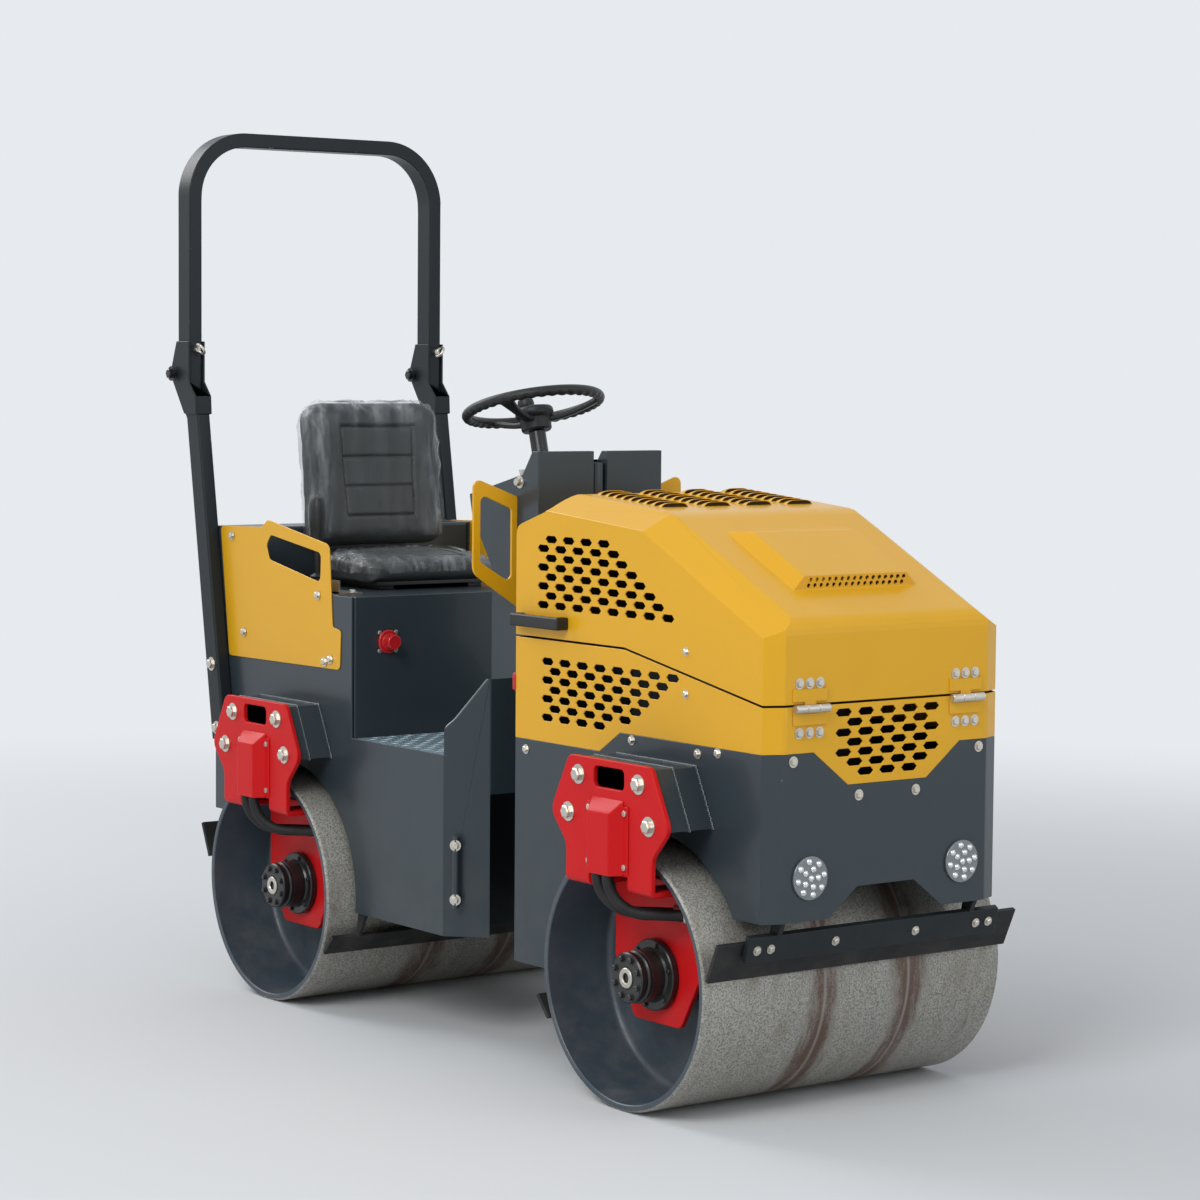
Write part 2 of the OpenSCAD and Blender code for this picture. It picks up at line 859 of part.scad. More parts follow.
// Bevelled wings and the toe board between them
module foot_guard() {
    knee = rear_half - toe_bevel;
    color(grey) intersection() {
        xy(-100, 700) polygon(bevel_wall(toe_x, rear_half, toe_bevel, toe_bevel, plate_t));
        yz(-200, 200) polygon([
            [-400, rear_low_z], [-knee, rear_low_z], [-knee, 300], [knee, 300],
            [knee, rear_low_z], [400, rear_low_z], [400, toe_z - 118],
            [rear_half, toe_z - 118], [rear_half - 20, toe_z - 93],
            [knee + 4, toe_z], [-knee - 4, toe_z], [20 - rear_half, toe_z - 93],
            [-rear_half, toe_z - 118], [-400, toe_z - 118]
        ]);
    }
}

module floor_plate() {
    plan = bevel_wall(toe_x, rear_half, toe_bevel, toe_bevel, plate_t);
    side = rear_half - plate_t;
    edge_x = toe_x - toe_bevel - (side - plan[4].y);
    color(steel) xy(floor_z - plate_t, floor_z) polygon([
        [-box_x - plate_t, -side], [edge_x, -side], plan[6], plan[5], [edge_x, side],
        [-box_x - plate_t, side]
    ]);
}

module seat_box() {
    side = rear_half - plate_t;
    color(grey) {
        box([-box_x - plate_t, -side, floor_z], [-box_x, side, box_z]);
        box([tank_x, -side, box_z - plate_t], [-box_x - 1, side, box_z]);
    }
}

module water_tank() {
    side = rear_half - plate_t;
    color(grey) {
        box([plate_t - rear_x, -side, 600], [tank_x, side, tank_z]);
        translate([-rear_x + 70, 200, tank_z - 1]) cylinder(h = 24, r = 38);
    }
}

module side_guards() {
    color(yellow) both() xz(-rear_half - sheet_t, -rear_half) difference() {
        translate([-box_x, box_z]) polygon(rounded([
            [-582, -182], [-625, 143], [-421, 149], [-393, 168], [-104, 120],
            [-89, -77], [-51, -83], [-56, -178]
        ], [12, 12, 0, 16, 20, 10, 10, 12]));
        translate([-box_x, box_z]) polygon(rounded([
            [-379, 131], [-142, 98], [-145, 27], [-385, 70], [-400, 105]
        ], [14, 14, 14, 14, 14]));
    }
}

function console_outline() = [
    [20, floor_z], [-100, floor_z], [-100, 810], [-182, 925], [-194, 977], [22, 1030],
    [60, console_z], [console_x, console_z], [console_x, toe_z + 60], [20, toe_z + 10]
];

module console_block() {
    xz(-console_half, console_half) polygon(console_outline());
}

// Groove down the middle of the console's front, grown by t
module console_groove(t) {
    box([groove_x - t, -groove_r - t, groove_low_z - t], [console_x + 1, groove_r + t, console_z + 1]);
}

// Round-nosed bar on the back of the groove
module console_bar() {
    high = console_z - groove_drop;
    box([groove_x - 1, -bar_r, groove_low_z - 1], [groove_x + groove_r, bar_r, high]);
    translate([groove_x + groove_r, 0, groove_low_z - 1]) cylinder(h = high - groove_low_z + 1, r = bar_r);
}

module console() {
    color(grey) {
        difference() {
            console_block();
            console_groove(0);
            difference() {
                xz(sheet_t - console_half, console_half - sheet_t) polygon(inset([
                    for (p = console_outline()) p.y == floor_z ? [p.x, p.y - 50] : p
                ], sheet_t));
                console_groove(sheet_t);
            }
        }
        intersection() {
            console_block();
            console_bar();
        }
    }
}

// Wing plates beside the console with a window for the hand
module console_handles() {
    low = console_half;
    color(yellow) both() yz(-3, 3) mirror([1, 0]) difference() {
        translate([low, console_z]) polygon(rounded(
            [[0, -358], [0, -105], [122, -59], [122, -278]], [0, 0, 16, 30]
        ));
        translate([low, console_z]) polygon(rounded(
            [[16, -303], [16, -133], [102, -98], [102, -253]], [12, 12, 12, 12]
        ));
    }
}

// Local frame of the steering wheel, Z along the column
module on_column() {
    translate(wheel_pos) rotate([0, -column_tilt, 0]) children();
}

module steering_column() {
    color(black) difference() {
        on_column() {
            translate([0, 0, -290]) cylinder(h = 290 + spindle_z + 1, r = 20);
            translate([0, 0, -290]) cylinder(h = 140, r = 42);
            translate([0, 0, spindle_z]) cylinder(h = wheel_hub_h - 4, r = spindle_r);
        }
        console_block();
    }
}

module steering_wheel() {
    mid_r = wheel_d / 2 - rim_r;
    color(black) on_column() {
        rotate_extrude() translate([mid_r, 0]) circle(rim_r, $fn = 24);
        difference() {
            translate([0, 0, spindle_z + 2]) cylinder(h = wheel_hub_h, r = hand_hub_r);
            translate([0, 0, spindle_z + 1]) cylinder(h = wheel_hub_h - 2, r = spindle_r + run_gap);
        }
        for (a = [60, 180, 300]) {
            rotate([0, 0, a]) xz(-15, 15) polygon([
                [hand_hub_r - 6, -40], [mid_r - 4, -7], [mid_r - 4, 7], [hand_hub_r - 6, -28]
            ]);
        }
        rotate([0, 0, 150]) translate([mid_r, 0, rim_r - 2]) {
            cylinder(h = 16, r = 8);
            translate([0, 0, 15]) cylinder(h = 34, r = 20);
        }
    }
}

module seat_base() {
    color(black) {
        for (y = [-150, 110]) {
            box([seat_back_x + 25, y, box_z], [seat_back_x + 305, y + 40, box_z + 12]);
        }
        box([seat_back_x - 8, -170, box_z + 11], [seat_back_x + 325, 170, box_z + rail_h]);
        xz(-120, 120) polygon([
            [seat_back_x, box_z + 15], [seat_back_x, box_z + 90], [seat_back_x - 15, box_z + 275],
            [seat_back_x - 23, box_z + 275], [seat_back_x - 8, box_z + 90], [seat_back_x - 8, box_z + 15]
        ]);
    }
}

module seat_cushion() {
    low = box_z + rail_h;
    cushion_x = seat_back_x + 335;
    color(black) xz(-seat_half, seat_half) polygon(rounded([
        [cushion_x, low], [seat_back_x + 80, low], [seat_back_x + 80, low + 70], [cushion_x, low + 50]
    ], [20, 6, 20, 20]));
}

module seat_back() {
    low = box_z + 90;
    color(black) xz(1 - seat_half, seat_half - 1) polygon(rounded([
        [seat_back_x, low], [seat_back_x - 30, low + 370], [seat_back_x + 45, low + 370],
        [seat_back_x + 59, low + 190], [seat_back_x + 89, low]
    ], [6, 30, 30, 0, 24]));
}

module travel_lever() {
    color(black) translate([-733, -260, box_z]) {
        cylinder(h = 115, r = 9);
        translate([0, 0, 110]) cylinder(h = 112, r = 22);
        cylinder(h = 14, r = 30);
    }
}

module stop_button() {
    color(red) translate([-box_x, -248, 616]) {
        rod_x(0, 8, 28);
        rod_x(7, 34, 18);
    }
}

// Transport lock bar stowed on the right wing
module lock_bar() {
    mid = rear_half - toe_bevel * 0.31;
    color(zinc) translate([toe_x - toe_bevel * 0.69, -mid, 0]) rotate([0, 0, -45]) {
        translate([22, 0, 40]) cylinder(h = 165, r = 8);
        for (z = [60, 185]) {
            translate([0, 0, z]) rod_x(0, 22, 7);
        }
    }
}

module rops_posts() {
    lean = 0.161;
    low = 330;
    high = fold_z - 60;
    foot_x = 44 - rear_x;
    high_x = foot_x - lean * (high - low);
    color(dark) both() {
        xz(-rear_half - tube_y, -rear_half) polygon([
            [foot_x, low], [foot_x + tube_x, low], [high_x + tube_x, high], [high_x, high]
        ]);
        difference() {
            xz(-rear_half - tube_y - side_gap - 5, -rear_half + side_gap + 5) polygon([
                [high_x + tube_x + 7, high - 42], [high_x + tube_x + 4, high + 4],
                [hoop_x + tube_x / 2 + 5, high + 40], [hoop_x + tube_x / 2 + 5, high + 142],
                [hoop_x - tube_x / 2, high + 142], [fold_x - eye_r, fold_z], [high_x + 7, high - 42]
            ]);
            xz(-rear_half - tube_y - side_gap, -rear_half + side_gap) polygon([
                [-1400, fold_z - 55], [-1000, fold_z - 55], [-1000, 1500], [-1400, 1500]
            ]);
        }
        translate([fold_x, 0, fold_z]) rod_y(-rear_half - tube_y - 14, -rear_half + 14, fold_r);
    }
}

module rops_hoop() {
    bend_y = leg_y - hoop_bend_r;
    bend_z = hoop_z - tube_y / 2 - hoop_bend_r;
    color(dark) {
        both() {
            difference() {
                union() {
                    box(
                        [hoop_x - tube_x / 2, -leg_y - tube_y / 2, hoop_low_z],
                        [hoop_x + tube_x / 2, -leg_y + tube_y / 2, bend_z]
                    );
                    box(
                        [fold_x, -leg_y - tube_y / 2, fold_z - eye_r],
                        [hoop_x, -leg_y + tube_y / 2, fold_z + eye_r]
                    );
                    translate([fold_x, 0, fold_z]) rod_y(-leg_y - tube_y / 2, -leg_y + tube_y / 2, eye_r);
                }
                translate([fold_x, 0, fold_z]) rod_y(-leg_y - tube_y, -leg_y + tube_y, fold_r + run_gap);
            }
            mirror([0, 1, 0]) translate([hoop_x, bend_y, bend_z]) rotate([90, 0, 90])
                rotate_extrude(angle = 90) translate([hoop_bend_r - tube_y / 2, -tube_x / 2])
                square([tube_y, tube_x]);
        }
        box(
            [hoop_x - tube_x / 2, -bend_y, hoop_z - tube_y],
            [hoop_x + tube_x / 2, bend_y, hoop_z]
        );
    }
}

module rops_lock_pins() {
    color(zinc) both() translate([hoop_x + tube_x / 2, -leg_y, fold_z + 62]) {
        rod_x(0, 12, 7);
        translate([24, 0, 0]) rotate([35, 0, 0]) rotate([90, 0, 0])
            rotate_extrude() translate([14, 0]) circle(3.5, $fn = 16);
    }
}

place() front_drum();
place() rear_drum();
place() front_sides();
place() front_panel();
place() front_wall();
place() engine_deck();
place() engine();
place() band_sides();
place() band_front();
place() headlamps();
place() hood_hinges();
place() front_hangers();
place() front_covers();
place() front_motors();
place() front_hoses();
place() front_scrapers();
place() hood();
place() hood_leaves();
place() hood_grips();
place() centre_yoke();
place() steering_cylinder();
place() steering_rod();
place() rear_sides();
place() rear_wall();
place() cross_wall();
place() foot_guard();
place() floor_plate();
place() seat_box();
place() water_tank();
place() side_guards();
place() console();
place() console_handles();
place() steering_column();
place() steering_wheel();
place() seat_base();
place() seat_cushion();
place() seat_back();
place() travel_lever();
place() stop_button();
place() lock_bar();
place() rops_posts();
place() rops_hoop();
place() rops_lock_pins();
place() rear_hangers();
place() rear_covers();
place() rear_motors();
place() rear_hoses();
place() rear_scrapers();
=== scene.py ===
"""Looks of a tandem road roller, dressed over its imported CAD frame."""

import json
import logging
import math
from dataclasses import dataclass, field
from enum import Enum
from typing import Any, Callable, Iterable, Sequence

import bmesh
import bpy
import numpy as np
from mathutils import Matrix, Vector, noise

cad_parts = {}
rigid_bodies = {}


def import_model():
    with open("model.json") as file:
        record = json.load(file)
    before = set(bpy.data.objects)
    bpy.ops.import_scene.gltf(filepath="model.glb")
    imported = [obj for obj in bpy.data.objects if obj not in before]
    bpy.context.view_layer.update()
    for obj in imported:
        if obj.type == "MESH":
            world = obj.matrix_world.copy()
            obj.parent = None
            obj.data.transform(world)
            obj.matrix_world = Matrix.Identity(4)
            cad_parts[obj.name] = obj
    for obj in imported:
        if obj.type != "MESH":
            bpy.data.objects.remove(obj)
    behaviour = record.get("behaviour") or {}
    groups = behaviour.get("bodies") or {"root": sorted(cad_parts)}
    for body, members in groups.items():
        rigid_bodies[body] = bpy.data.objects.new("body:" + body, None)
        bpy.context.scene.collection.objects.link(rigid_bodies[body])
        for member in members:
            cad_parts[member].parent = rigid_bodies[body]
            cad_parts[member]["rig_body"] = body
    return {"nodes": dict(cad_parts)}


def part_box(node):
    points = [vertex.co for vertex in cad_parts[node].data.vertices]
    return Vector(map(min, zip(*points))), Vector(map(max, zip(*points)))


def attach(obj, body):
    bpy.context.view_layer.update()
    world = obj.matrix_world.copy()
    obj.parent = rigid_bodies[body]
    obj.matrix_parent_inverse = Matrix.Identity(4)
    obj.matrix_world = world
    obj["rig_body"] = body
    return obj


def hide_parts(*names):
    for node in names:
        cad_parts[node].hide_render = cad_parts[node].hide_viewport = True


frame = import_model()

Triple = tuple[float, float, float]
Colour = Triple
Pair = tuple[float, float]
Pairs = tuple[Pair, ...]
Socket, Node, Tree = bpy.types.NodeSocket, bpy.types.Node, bpy.types.NodeTree
Piece, Mesh = bpy.types.Object, bpy.types.Mesh

log = logging.getLogger("road_roller")
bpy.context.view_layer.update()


class Axles:
    """Where the axles and the articulation pin are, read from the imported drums.

    Attributes:
        front: Middle of the front drum.
        rear: Middle of the rear drum.
        pin: Point midway between them, on the axle line.
        radius: Outside radius of a drum.
        half: Half the width of a drum.
    """

    def __init__(self) -> None:
        """Reads the drums' boxes."""
        low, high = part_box("front_drum")
        self.front: Vector = (low + high) / 2
        self.radius: float = (high.z - low.z) / 2
        self.half: float = (high.y - low.y) / 2
        low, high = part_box("rear_drum")
        self.rear: Vector = (low + high) / 2
        self.pin: Vector = (self.front + self.rear) / 2

    def at(self, x: float, y: float, z: float) -> Vector:
        """Gives a point in metres from millimetres off the pin.

        Args:
            x: Distance forward of the pin.
            y: Distance to the left.
            z: Height over the axle line.

        Returns:
            The point in the shared frame.
        """
        return self.pin + Vector((x, y, z)) / 1000


AXLES = Axles()
AHEAD, LEFT, UP = Vector((1, 0, 0)), Vector((0, 1, 0)), Vector((0, 0, 1))
at = AXLES.at


class Wiring:
    """Short hand for building one node tree."""

    def __init__(self, tree: Tree) -> None:
        """Keeps the tree that is wired."""
        self.tree = tree

    def add(self, kind: str, inputs: dict[Any, Any] | None = None, **settings: Any) -> Node:
        """Adds a node.

        Args:
            kind: Node type.
            inputs: Values or sockets for its inputs, by name or number.
            **settings: Properties of the node.

        Returns:
            The new node.
        """
        node = self.tree.nodes.new(kind)
        for key, value in settings.items():
            setattr(node, key, value)
        for key, value in (inputs or {}).items():
            if isinstance(value, Socket):
                self.tree.links.new(value, node.inputs[key])
            else:
                node.inputs[key].default_value = value
        return node

    def sum(self, operation: str, a: Any, b: Any = 0.0, clamp: bool = False) -> Socket:
        """Joins two values with a math operation.

        Args:
            operation: Name of the operation.
            a: First value or socket.
            b: Second value or socket.
            clamp: Whether the result is kept from 0 to 1.

        Returns:
            The result's socket.
        """
        return self.add("ShaderNodeMath", {0: a, 1: b}, operation=operation, use_clamp=clamp).outputs[0]

    def line(self, value: Any, gain: Any, start: float) -> Socket:
        """Gives a value times a gain, plus a start."""
        terms = {0: value, 1: gain, 2: start}
        return self.add("ShaderNodeMath", terms, operation="MULTIPLY_ADD").outputs[0]

    def spread(self, value: Any, low: float, high: float, to: Pair = (0.0, 1.0)) -> Socket:
        """Maps a value from low..high to a range, with soft ends.

        Args:
            value: Socket to map.
            low: Value that gives the range's start.
            high: Value that gives the range's end.
            to: The range.

        Returns:
            The result's socket.
        """
        names = {"Value": value, "From Min": low, "From Max": high, "To Min": to[0], "To Max": to[1]}
        return self.add("ShaderNodeMapRange", names, interpolation_type="SMOOTHSTEP").outputs[0]

    def mix(self, share: Any, a: Any, b: Any) -> Socket:
        """Mixes two colours.

        Args:
            share: How much of the second colour shows.
            a: First colour or socket.
            b: Second colour or socket.

        Returns:
            The mixed colour's socket.
        """
        return self.add("ShaderNodeMix", {0: share, 6: a, 7: b}, data_type="RGBA").outputs[2]

    def noise(self, place: Any, scale: Any, detail: float = 3.0, rough: float = 0.5) -> Socket:
        """Adds a noise texture.

        Args:
            place: Coordinates.
            scale: Waves to the metre.
            detail: Octaves.
            rough: Strength of the small octaves.

        Returns:
            The noise value's socket.
        """
        names = {"Vector": place, "Scale": scale, "Detail": detail, "Roughness": rough}
        return self.add("ShaderNodeTexNoise", names).outputs[0]

    def place(self, scale: Sequence[float] = (1, 1, 1)) -> Socket:
        """Gives the piece's object coordinates, stretched by scale."""
        spot = self.add("ShaderNodeTexCoord").outputs["Object"]
        if tuple(scale) == (1, 1, 1):
            return spot
        return self.add("ShaderNodeMapping", {"Vector": spot, "Scale": tuple(scale)}).outputs[0]

    def named(self, name: str, kind: str) -> Socket:
        """Reads an attribute of a geometry tree's points, by name and type."""
        return self.add("GeometryNodeInputNamedAttribute", {"Name": name}, data_type=kind).outputs[0]

    def effect(self, tree: Tree, **inputs: Any) -> Node:
        """Places a shared effect with its own values."""
        return self.add("ShaderNodeGroup", inputs, node_tree=tree)

    def height(self, spot: Any) -> Socket:
        """Gives the third coordinate of a point or a direction."""
        return self.add("ShaderNodeSeparateXYZ", {0: spot}).outputs["Z"]

    def bump(self, strength: float, distance: float, height: Any) -> Socket:
        """Gives the surface's direction, roughened by a height.

        Args:
            strength: How much of the height shows.
            distance: Size of the height, in metres.
            height: Socket of the height.

        Returns:
            The direction's socket.
        """
        names = {"Strength": strength, "Distance": distance, "Height": height}
        return self.add("ShaderNodeBump", names).outputs[0]

    def shader(self, colour: Any, rough: Any, normal: Any, **more: Any) -> Node:
        """Adds the main shader of a surface.

        Args:
            colour: Base colour.
            rough: Roughness.
            normal: Direction of the surface.
            **more: Other inputs, with underlines in place of spaces.

        Returns:
            The shader's node.
        """
        names = {"Base Color": colour, "Roughness": rough, "Normal": normal}
        names |= {key.replace("_", " "): value for key, value in more.items()}
        return self.add("ShaderNodeBsdfPrincipled", names)


def emptied(owner: Any) -> Wiring:
    """Gives the wiring of a material or a world, with its first nodes taken out."""
    owner.use_nodes = True
    owner.node_tree.nodes.clear()
    return Wiring(owner.node_tree)


class Effects:
    """Surface effects that several finishes share, each built once."""

    def __init__(self) -> None:
        """Builds every effect."""
        self.drift = self._drift()
        self.peel = self._peel()
        self.chips = self._chips()
        self.dust = self._dust()
        self.scuffs = self._scuffs()

    def _start(self, name: str, ins: dict[str, str], outs: dict[str, str]) -> tuple[Wiring, Any, Any]:
        """Starts a shader group.

        Args:
            name: Name of the group.
            ins: Socket type of each input.
            outs: Socket type of each output.

        Returns:
            The wiring, the group's input sockets and its output node.
        """
        tree = bpy.data.node_groups.new(name, "ShaderNodeTree")
        for key, kind in ins.items():
            tree.interface.new_socket(name=key, in_out="INPUT", socket_type=kind)
        for key, kind in outs.items():
            tree.interface.new_socket(name=key, in_out="OUTPUT", socket_type=kind)
        wiring = Wiring(tree)
        return wiring, wiring.add("NodeGroupInput").outputs, wiring.add("NodeGroupOutput")

    def _drift(self) -> Tree:
        """Slow change of a colour's brightness over a panel."""
        kinds = {"Colour": "NodeSocketColor", "Amount": "NodeSocketFloat", "Scale": "NodeSocketFloat"}
        w, given, out = self._start("Colour drift", kinds, {"Colour": "NodeSocketColor"})
        wave = w.noise(w.place(), given["Scale"], 4.0, 0.6)
        gain = w.line(w.sum("SUBTRACT", wave, 0.5), given["Amount"], 1.0)
        scaled = w.add("ShaderNodeVectorMath", {0: given["Colour"], "Scale": gain}, operation="SCALE")
        w.tree.links.new(scaled.outputs[0], out.inputs["Colour"])
        return w.tree

    def _peel(self) -> Tree:
        """Fine height of sprayed paint or moulded plastic."""
        w, given, out = self._start("Peel", {"Scale": "NodeSocketFloat"}, {"Height": "NodeSocketFloat"})
        fine = w.noise(w.place(), given["Scale"], 2.0)
        coarse = w.noise(w.place(), w.sum("MULTIPLY", given["Scale"], 0.21), 2.0)
        w.tree.links.new(w.sum("ADD", fine, coarse), out.inputs["Height"])
        return w.tree

    def _chips(self) -> Tree:
        """Mask of chipped paint on the edges that carry the wear attribute."""
        kinds = {"Amount": "NodeSocketFloat"}
        w, given, out = self._start("Edge chips", kinds, {"Mask": "NodeSocketFloat"})
        edge = w.add("ShaderNodeAttribute", attribute_name="wear").outputs["Fac"]
        patch = w.sum("ADD", w.noise(w.place(), 38.0, 5.0, 0.65), given["Amount"])
        mask = w.sum("MULTIPLY", edge, w.spread(patch, 0.95, 1.03))
        w.tree.links.new(mask, out.inputs["Mask"])
        return w.tree

    def _dust(self) -> Tree:
        """Mask of road dust, thick near the ground and thin on upward faces."""
        kinds = {"Top": "NodeSocketFloat", "Amount": "NodeSocketFloat"}
        w, given, out = self._start("Road dust", kinds, {"Mask": "NodeSocketFloat"})
        low = w.sum("SUBTRACT", 1.0, w.sum("DIVIDE", w.height(w.place()), given["Top"]), True)
        normal = w.add("ShaderNodeNewGeometry").outputs["Normal"]
        up = w.sum("MULTIPLY", w.sum("MAXIMUM", w.height(normal)), 0.2)
        cloud = w.spread(w.noise(w.place(), 13.0, 7.0, 0.65), 0.35, 0.75)
        mask = w.sum("MULTIPLY", w.sum("MULTIPLY", w.sum("ADD", low, up), cloud), given["Amount"], True)
        w.tree.links.new(mask, out.inputs["Mask"])
        return w.tree

    def _scuffs(self) -> Tree:
        """Mask of thin wiping marks along one direction."""
        kinds = {"Place": "NodeSocketVector", "Amount": "NodeSocketFloat"}
        w, given, out = self._start("Scuffs", kinds, {"Mask": "NodeSocketFloat"})
        line = w.noise(given["Place"], 1.0, 5.0, 0.7)
        mask = w.sum("MULTIPLY", w.spread(line, 0.52, 0.68), given["Amount"], True)
        w.tree.links.new(mask, out.inputs["Mask"])
        return w.tree


EFFECTS = Effects()
DUST: Colour = (0.23, 0.21, 0.18)


def rgba(colour: Colour) -> tuple[float, float, float, float]:
    """Gives a colour with full alpha."""
    return (*colour, 1.0)


class Surface:
    """A surface whose material is built once, at its first use.

    Attributes:
        slot: Slot of the record that the surface belongs to.
        tag: Name of the material, where it isn't the slot's.
    """

    slot: str
    tag: str = ""

    def material(self) -> bpy.types.Material:
        """Builds the surface's material, or gives the one that is built.

        Returns:
            The material.
        """
        name = (self.tag or self.slot) + "_finish"
        known = bpy.data.materials.get(name)
        if known:
            return known
        made = bpy.data.materials.new(name)
        w = emptied(made)
        w.add("ShaderNodeOutputMaterial", {"Surface": self.wire(w).outputs[0]})
        return made

    def wire(self, w: Wiring) -> Node:
        """Wires the shader, which each kind of surface does in its own way.

        Args:
            w: Wiring of the material.

        Returns:
            The shader's node.
        """
        raise NotImplementedError


@dataclass(frozen=True)
class Finish(Surface):
    """A surface finish: sprayed paint, plated metal, plastic or rubber.

    Attributes:
        slot: Slot of the record that the finish belongs to.
        colour: Linear base colour.
        rough: Roughness of the clean surface.
        metal: Metallic share.
        coat: Weight of the clear coat.
        bare: Colour that shows at a chipped edge.
        chips: How much of the edges is chipped.
        dust: How thick road dust lies near the ground.
        drift: Change of brightness over a panel.
        grain: Waves to the metre of the fine height.
        depth: Strength of the fine height.
        scuffs: How much the surface is scuffed.
        brush: Stretch of the scuffs along each axis.
        shine: Strength of the surface's reflection.
        tag: Name of the material, where it isn't the slot's.
    """

    slot: str
    colour: Colour
    rough: float = 0.35
    metal: float = 0.0
    coat: float = 0.0
    bare: Colour = (0.30, 0.29, 0.28)
    chips: float = 0.36
    dust: float = 0.35
    drift: float = 0.16
    grain: float = 700.0
    depth: float = 0.04
    scuffs: float = 0.2
    brush: Triple = (9.0, 9.0, 70.0)
    shine: float = 0.5
    tag: str = ""

    def wire(self, w: Wiring) -> Node:
        """Wires clean colour, dust, chips, scuffs and fine height together."""
        waves, dust_top, dust_rough, scuff_rough, skin = 3.1, 0.62, 0.3, 0.45, 0.002
        base = rgba(self.colour)
        clean = w.effect(EFFECTS.drift, Colour=base, Amount=self.drift, Scale=waves).outputs[0]
        dust = w.effect(EFFECTS.dust, Top=dust_top, Amount=self.dust).outputs[0]
        chips = w.effect(EFFECTS.chips, Amount=self.chips).outputs[0]
        scuffs = w.effect(EFFECTS.scuffs, Place=w.place(self.brush), Amount=self.scuffs).outputs[0]
        dusty = w.mix(dust, clean, rgba(DUST))
        colour = w.mix(chips, dusty, rgba(self.bare))
        worn = w.line(dust, dust_rough, self.rough)
        rough = w.sum("ADD", worn, w.sum("MULTIPLY", scuffs, scuff_rough), True)
        height = w.effect(EFFECTS.peel, Scale=self.grain).outputs[0]
        normal = w.bump(self.depth, skin, height)
        coat = {"Coat_Weight": self.coat, "Coat_Roughness": 0.08, "Specular_IOR_Level": self.shine}
        return w.shader(colour, rough, normal, Metallic=self.metal, **coat)


YELLOW = Finish(
    "yellow_paint", (0.74, 0.385, 0.009), 0.32, coat=0.12, chips=0.26, dust=0.05, drift=0.10, shine=0.34
)
GREY = Finish(
    "grey_paint", (0.030, 0.043, 0.052), 0.30, coat=0.12, chips=0.28, dust=0.12, scuffs=0.05, shine=0.36
)
DARK = Finish("dark_paint", (0.016, 0.021, 0.024), 0.36, chips=0.29, dust=0.08, scuffs=0.06, shine=0.2)
RED = Finish("red_paint", (0.60, 0.008, 0.010), 0.36, chips=0.28, dust=0.03, drift=0.12, shine=0.16)
ZINC = Finish("zinc", (0.60, 0.57, 0.51), 0.30, 0.9, chips=0.0, dust=0.15, drift=0.5, scuffs=0.5)
FLOOR = Finish("floor_steel", (0.26, 0.35, 0.40), 0.34, 0.35, chips=0.2, dust=0.1, scuffs=0.6)
PLASTIC = Finish(
    "black_plastic", (0.013, 0.014, 0.015), 0.42, chips=0.0, dust=0.12, grain=1500, depth=0.16, shine=0.4
)
IRON = Finish("black_metal", (0.010, 0.011, 0.012), 0.32, coat=0.15, chips=0.30, dust=0.12, shine=0.42)
RUBBER = Finish(
    "rubber", (0.010, 0.010, 0.011), 0.58, chips=0.0, dust=0.2, grain=900, depth=0.2, shine=0.35
)
ENGINE = Finish("engine_metal", (0.045, 0.045, 0.047), 0.5, 0.3, chips=0.3, dust=0.3)
TANK = Finish("tank_plastic", (0.030, 0.043, 0.052), 0.36, coat=0.1, chips=0.2, dust=0.12, shine=0.36)
SIGNAL = Finish("red_plastic", (0.50, 0.010, 0.012), 0.28, coat=0.2, chips=0.0, dust=0.05)
INSIDE = Finish(
    "drum_steel", (0.046, 0.066, 0.086), 0.36,
    chips=0.0, dust=0.25, drift=0.4, scuffs=0.4, tag="drum_inside",
)
# Painted shade: a near-black brown in place of the yellow paint on the hood's inner faces and in the louvre
# openings, standing for the shade inside the hood.
HOOD_SHADE = Finish(
    "yellow_paint", (0.030, 0.018, 0.006), 0.6, chips=0.0, dust=0.0, shine=0.15, tag="inner_hood_shade"
)
LENS = Finish(
    "lamp", (0.20, 0.22, 0.23), 0.10, 0.5, coat=0.8, chips=0.0, dust=0.04, drift=0.3, tag="lamp_base"
)
WELD = Finish(
    "grey_paint", (0.050, 0.068, 0.080), 0.22,
    coat=0.5, chips=0.0, dust=0.1, grain=400, depth=0.2, tag="weld",
)


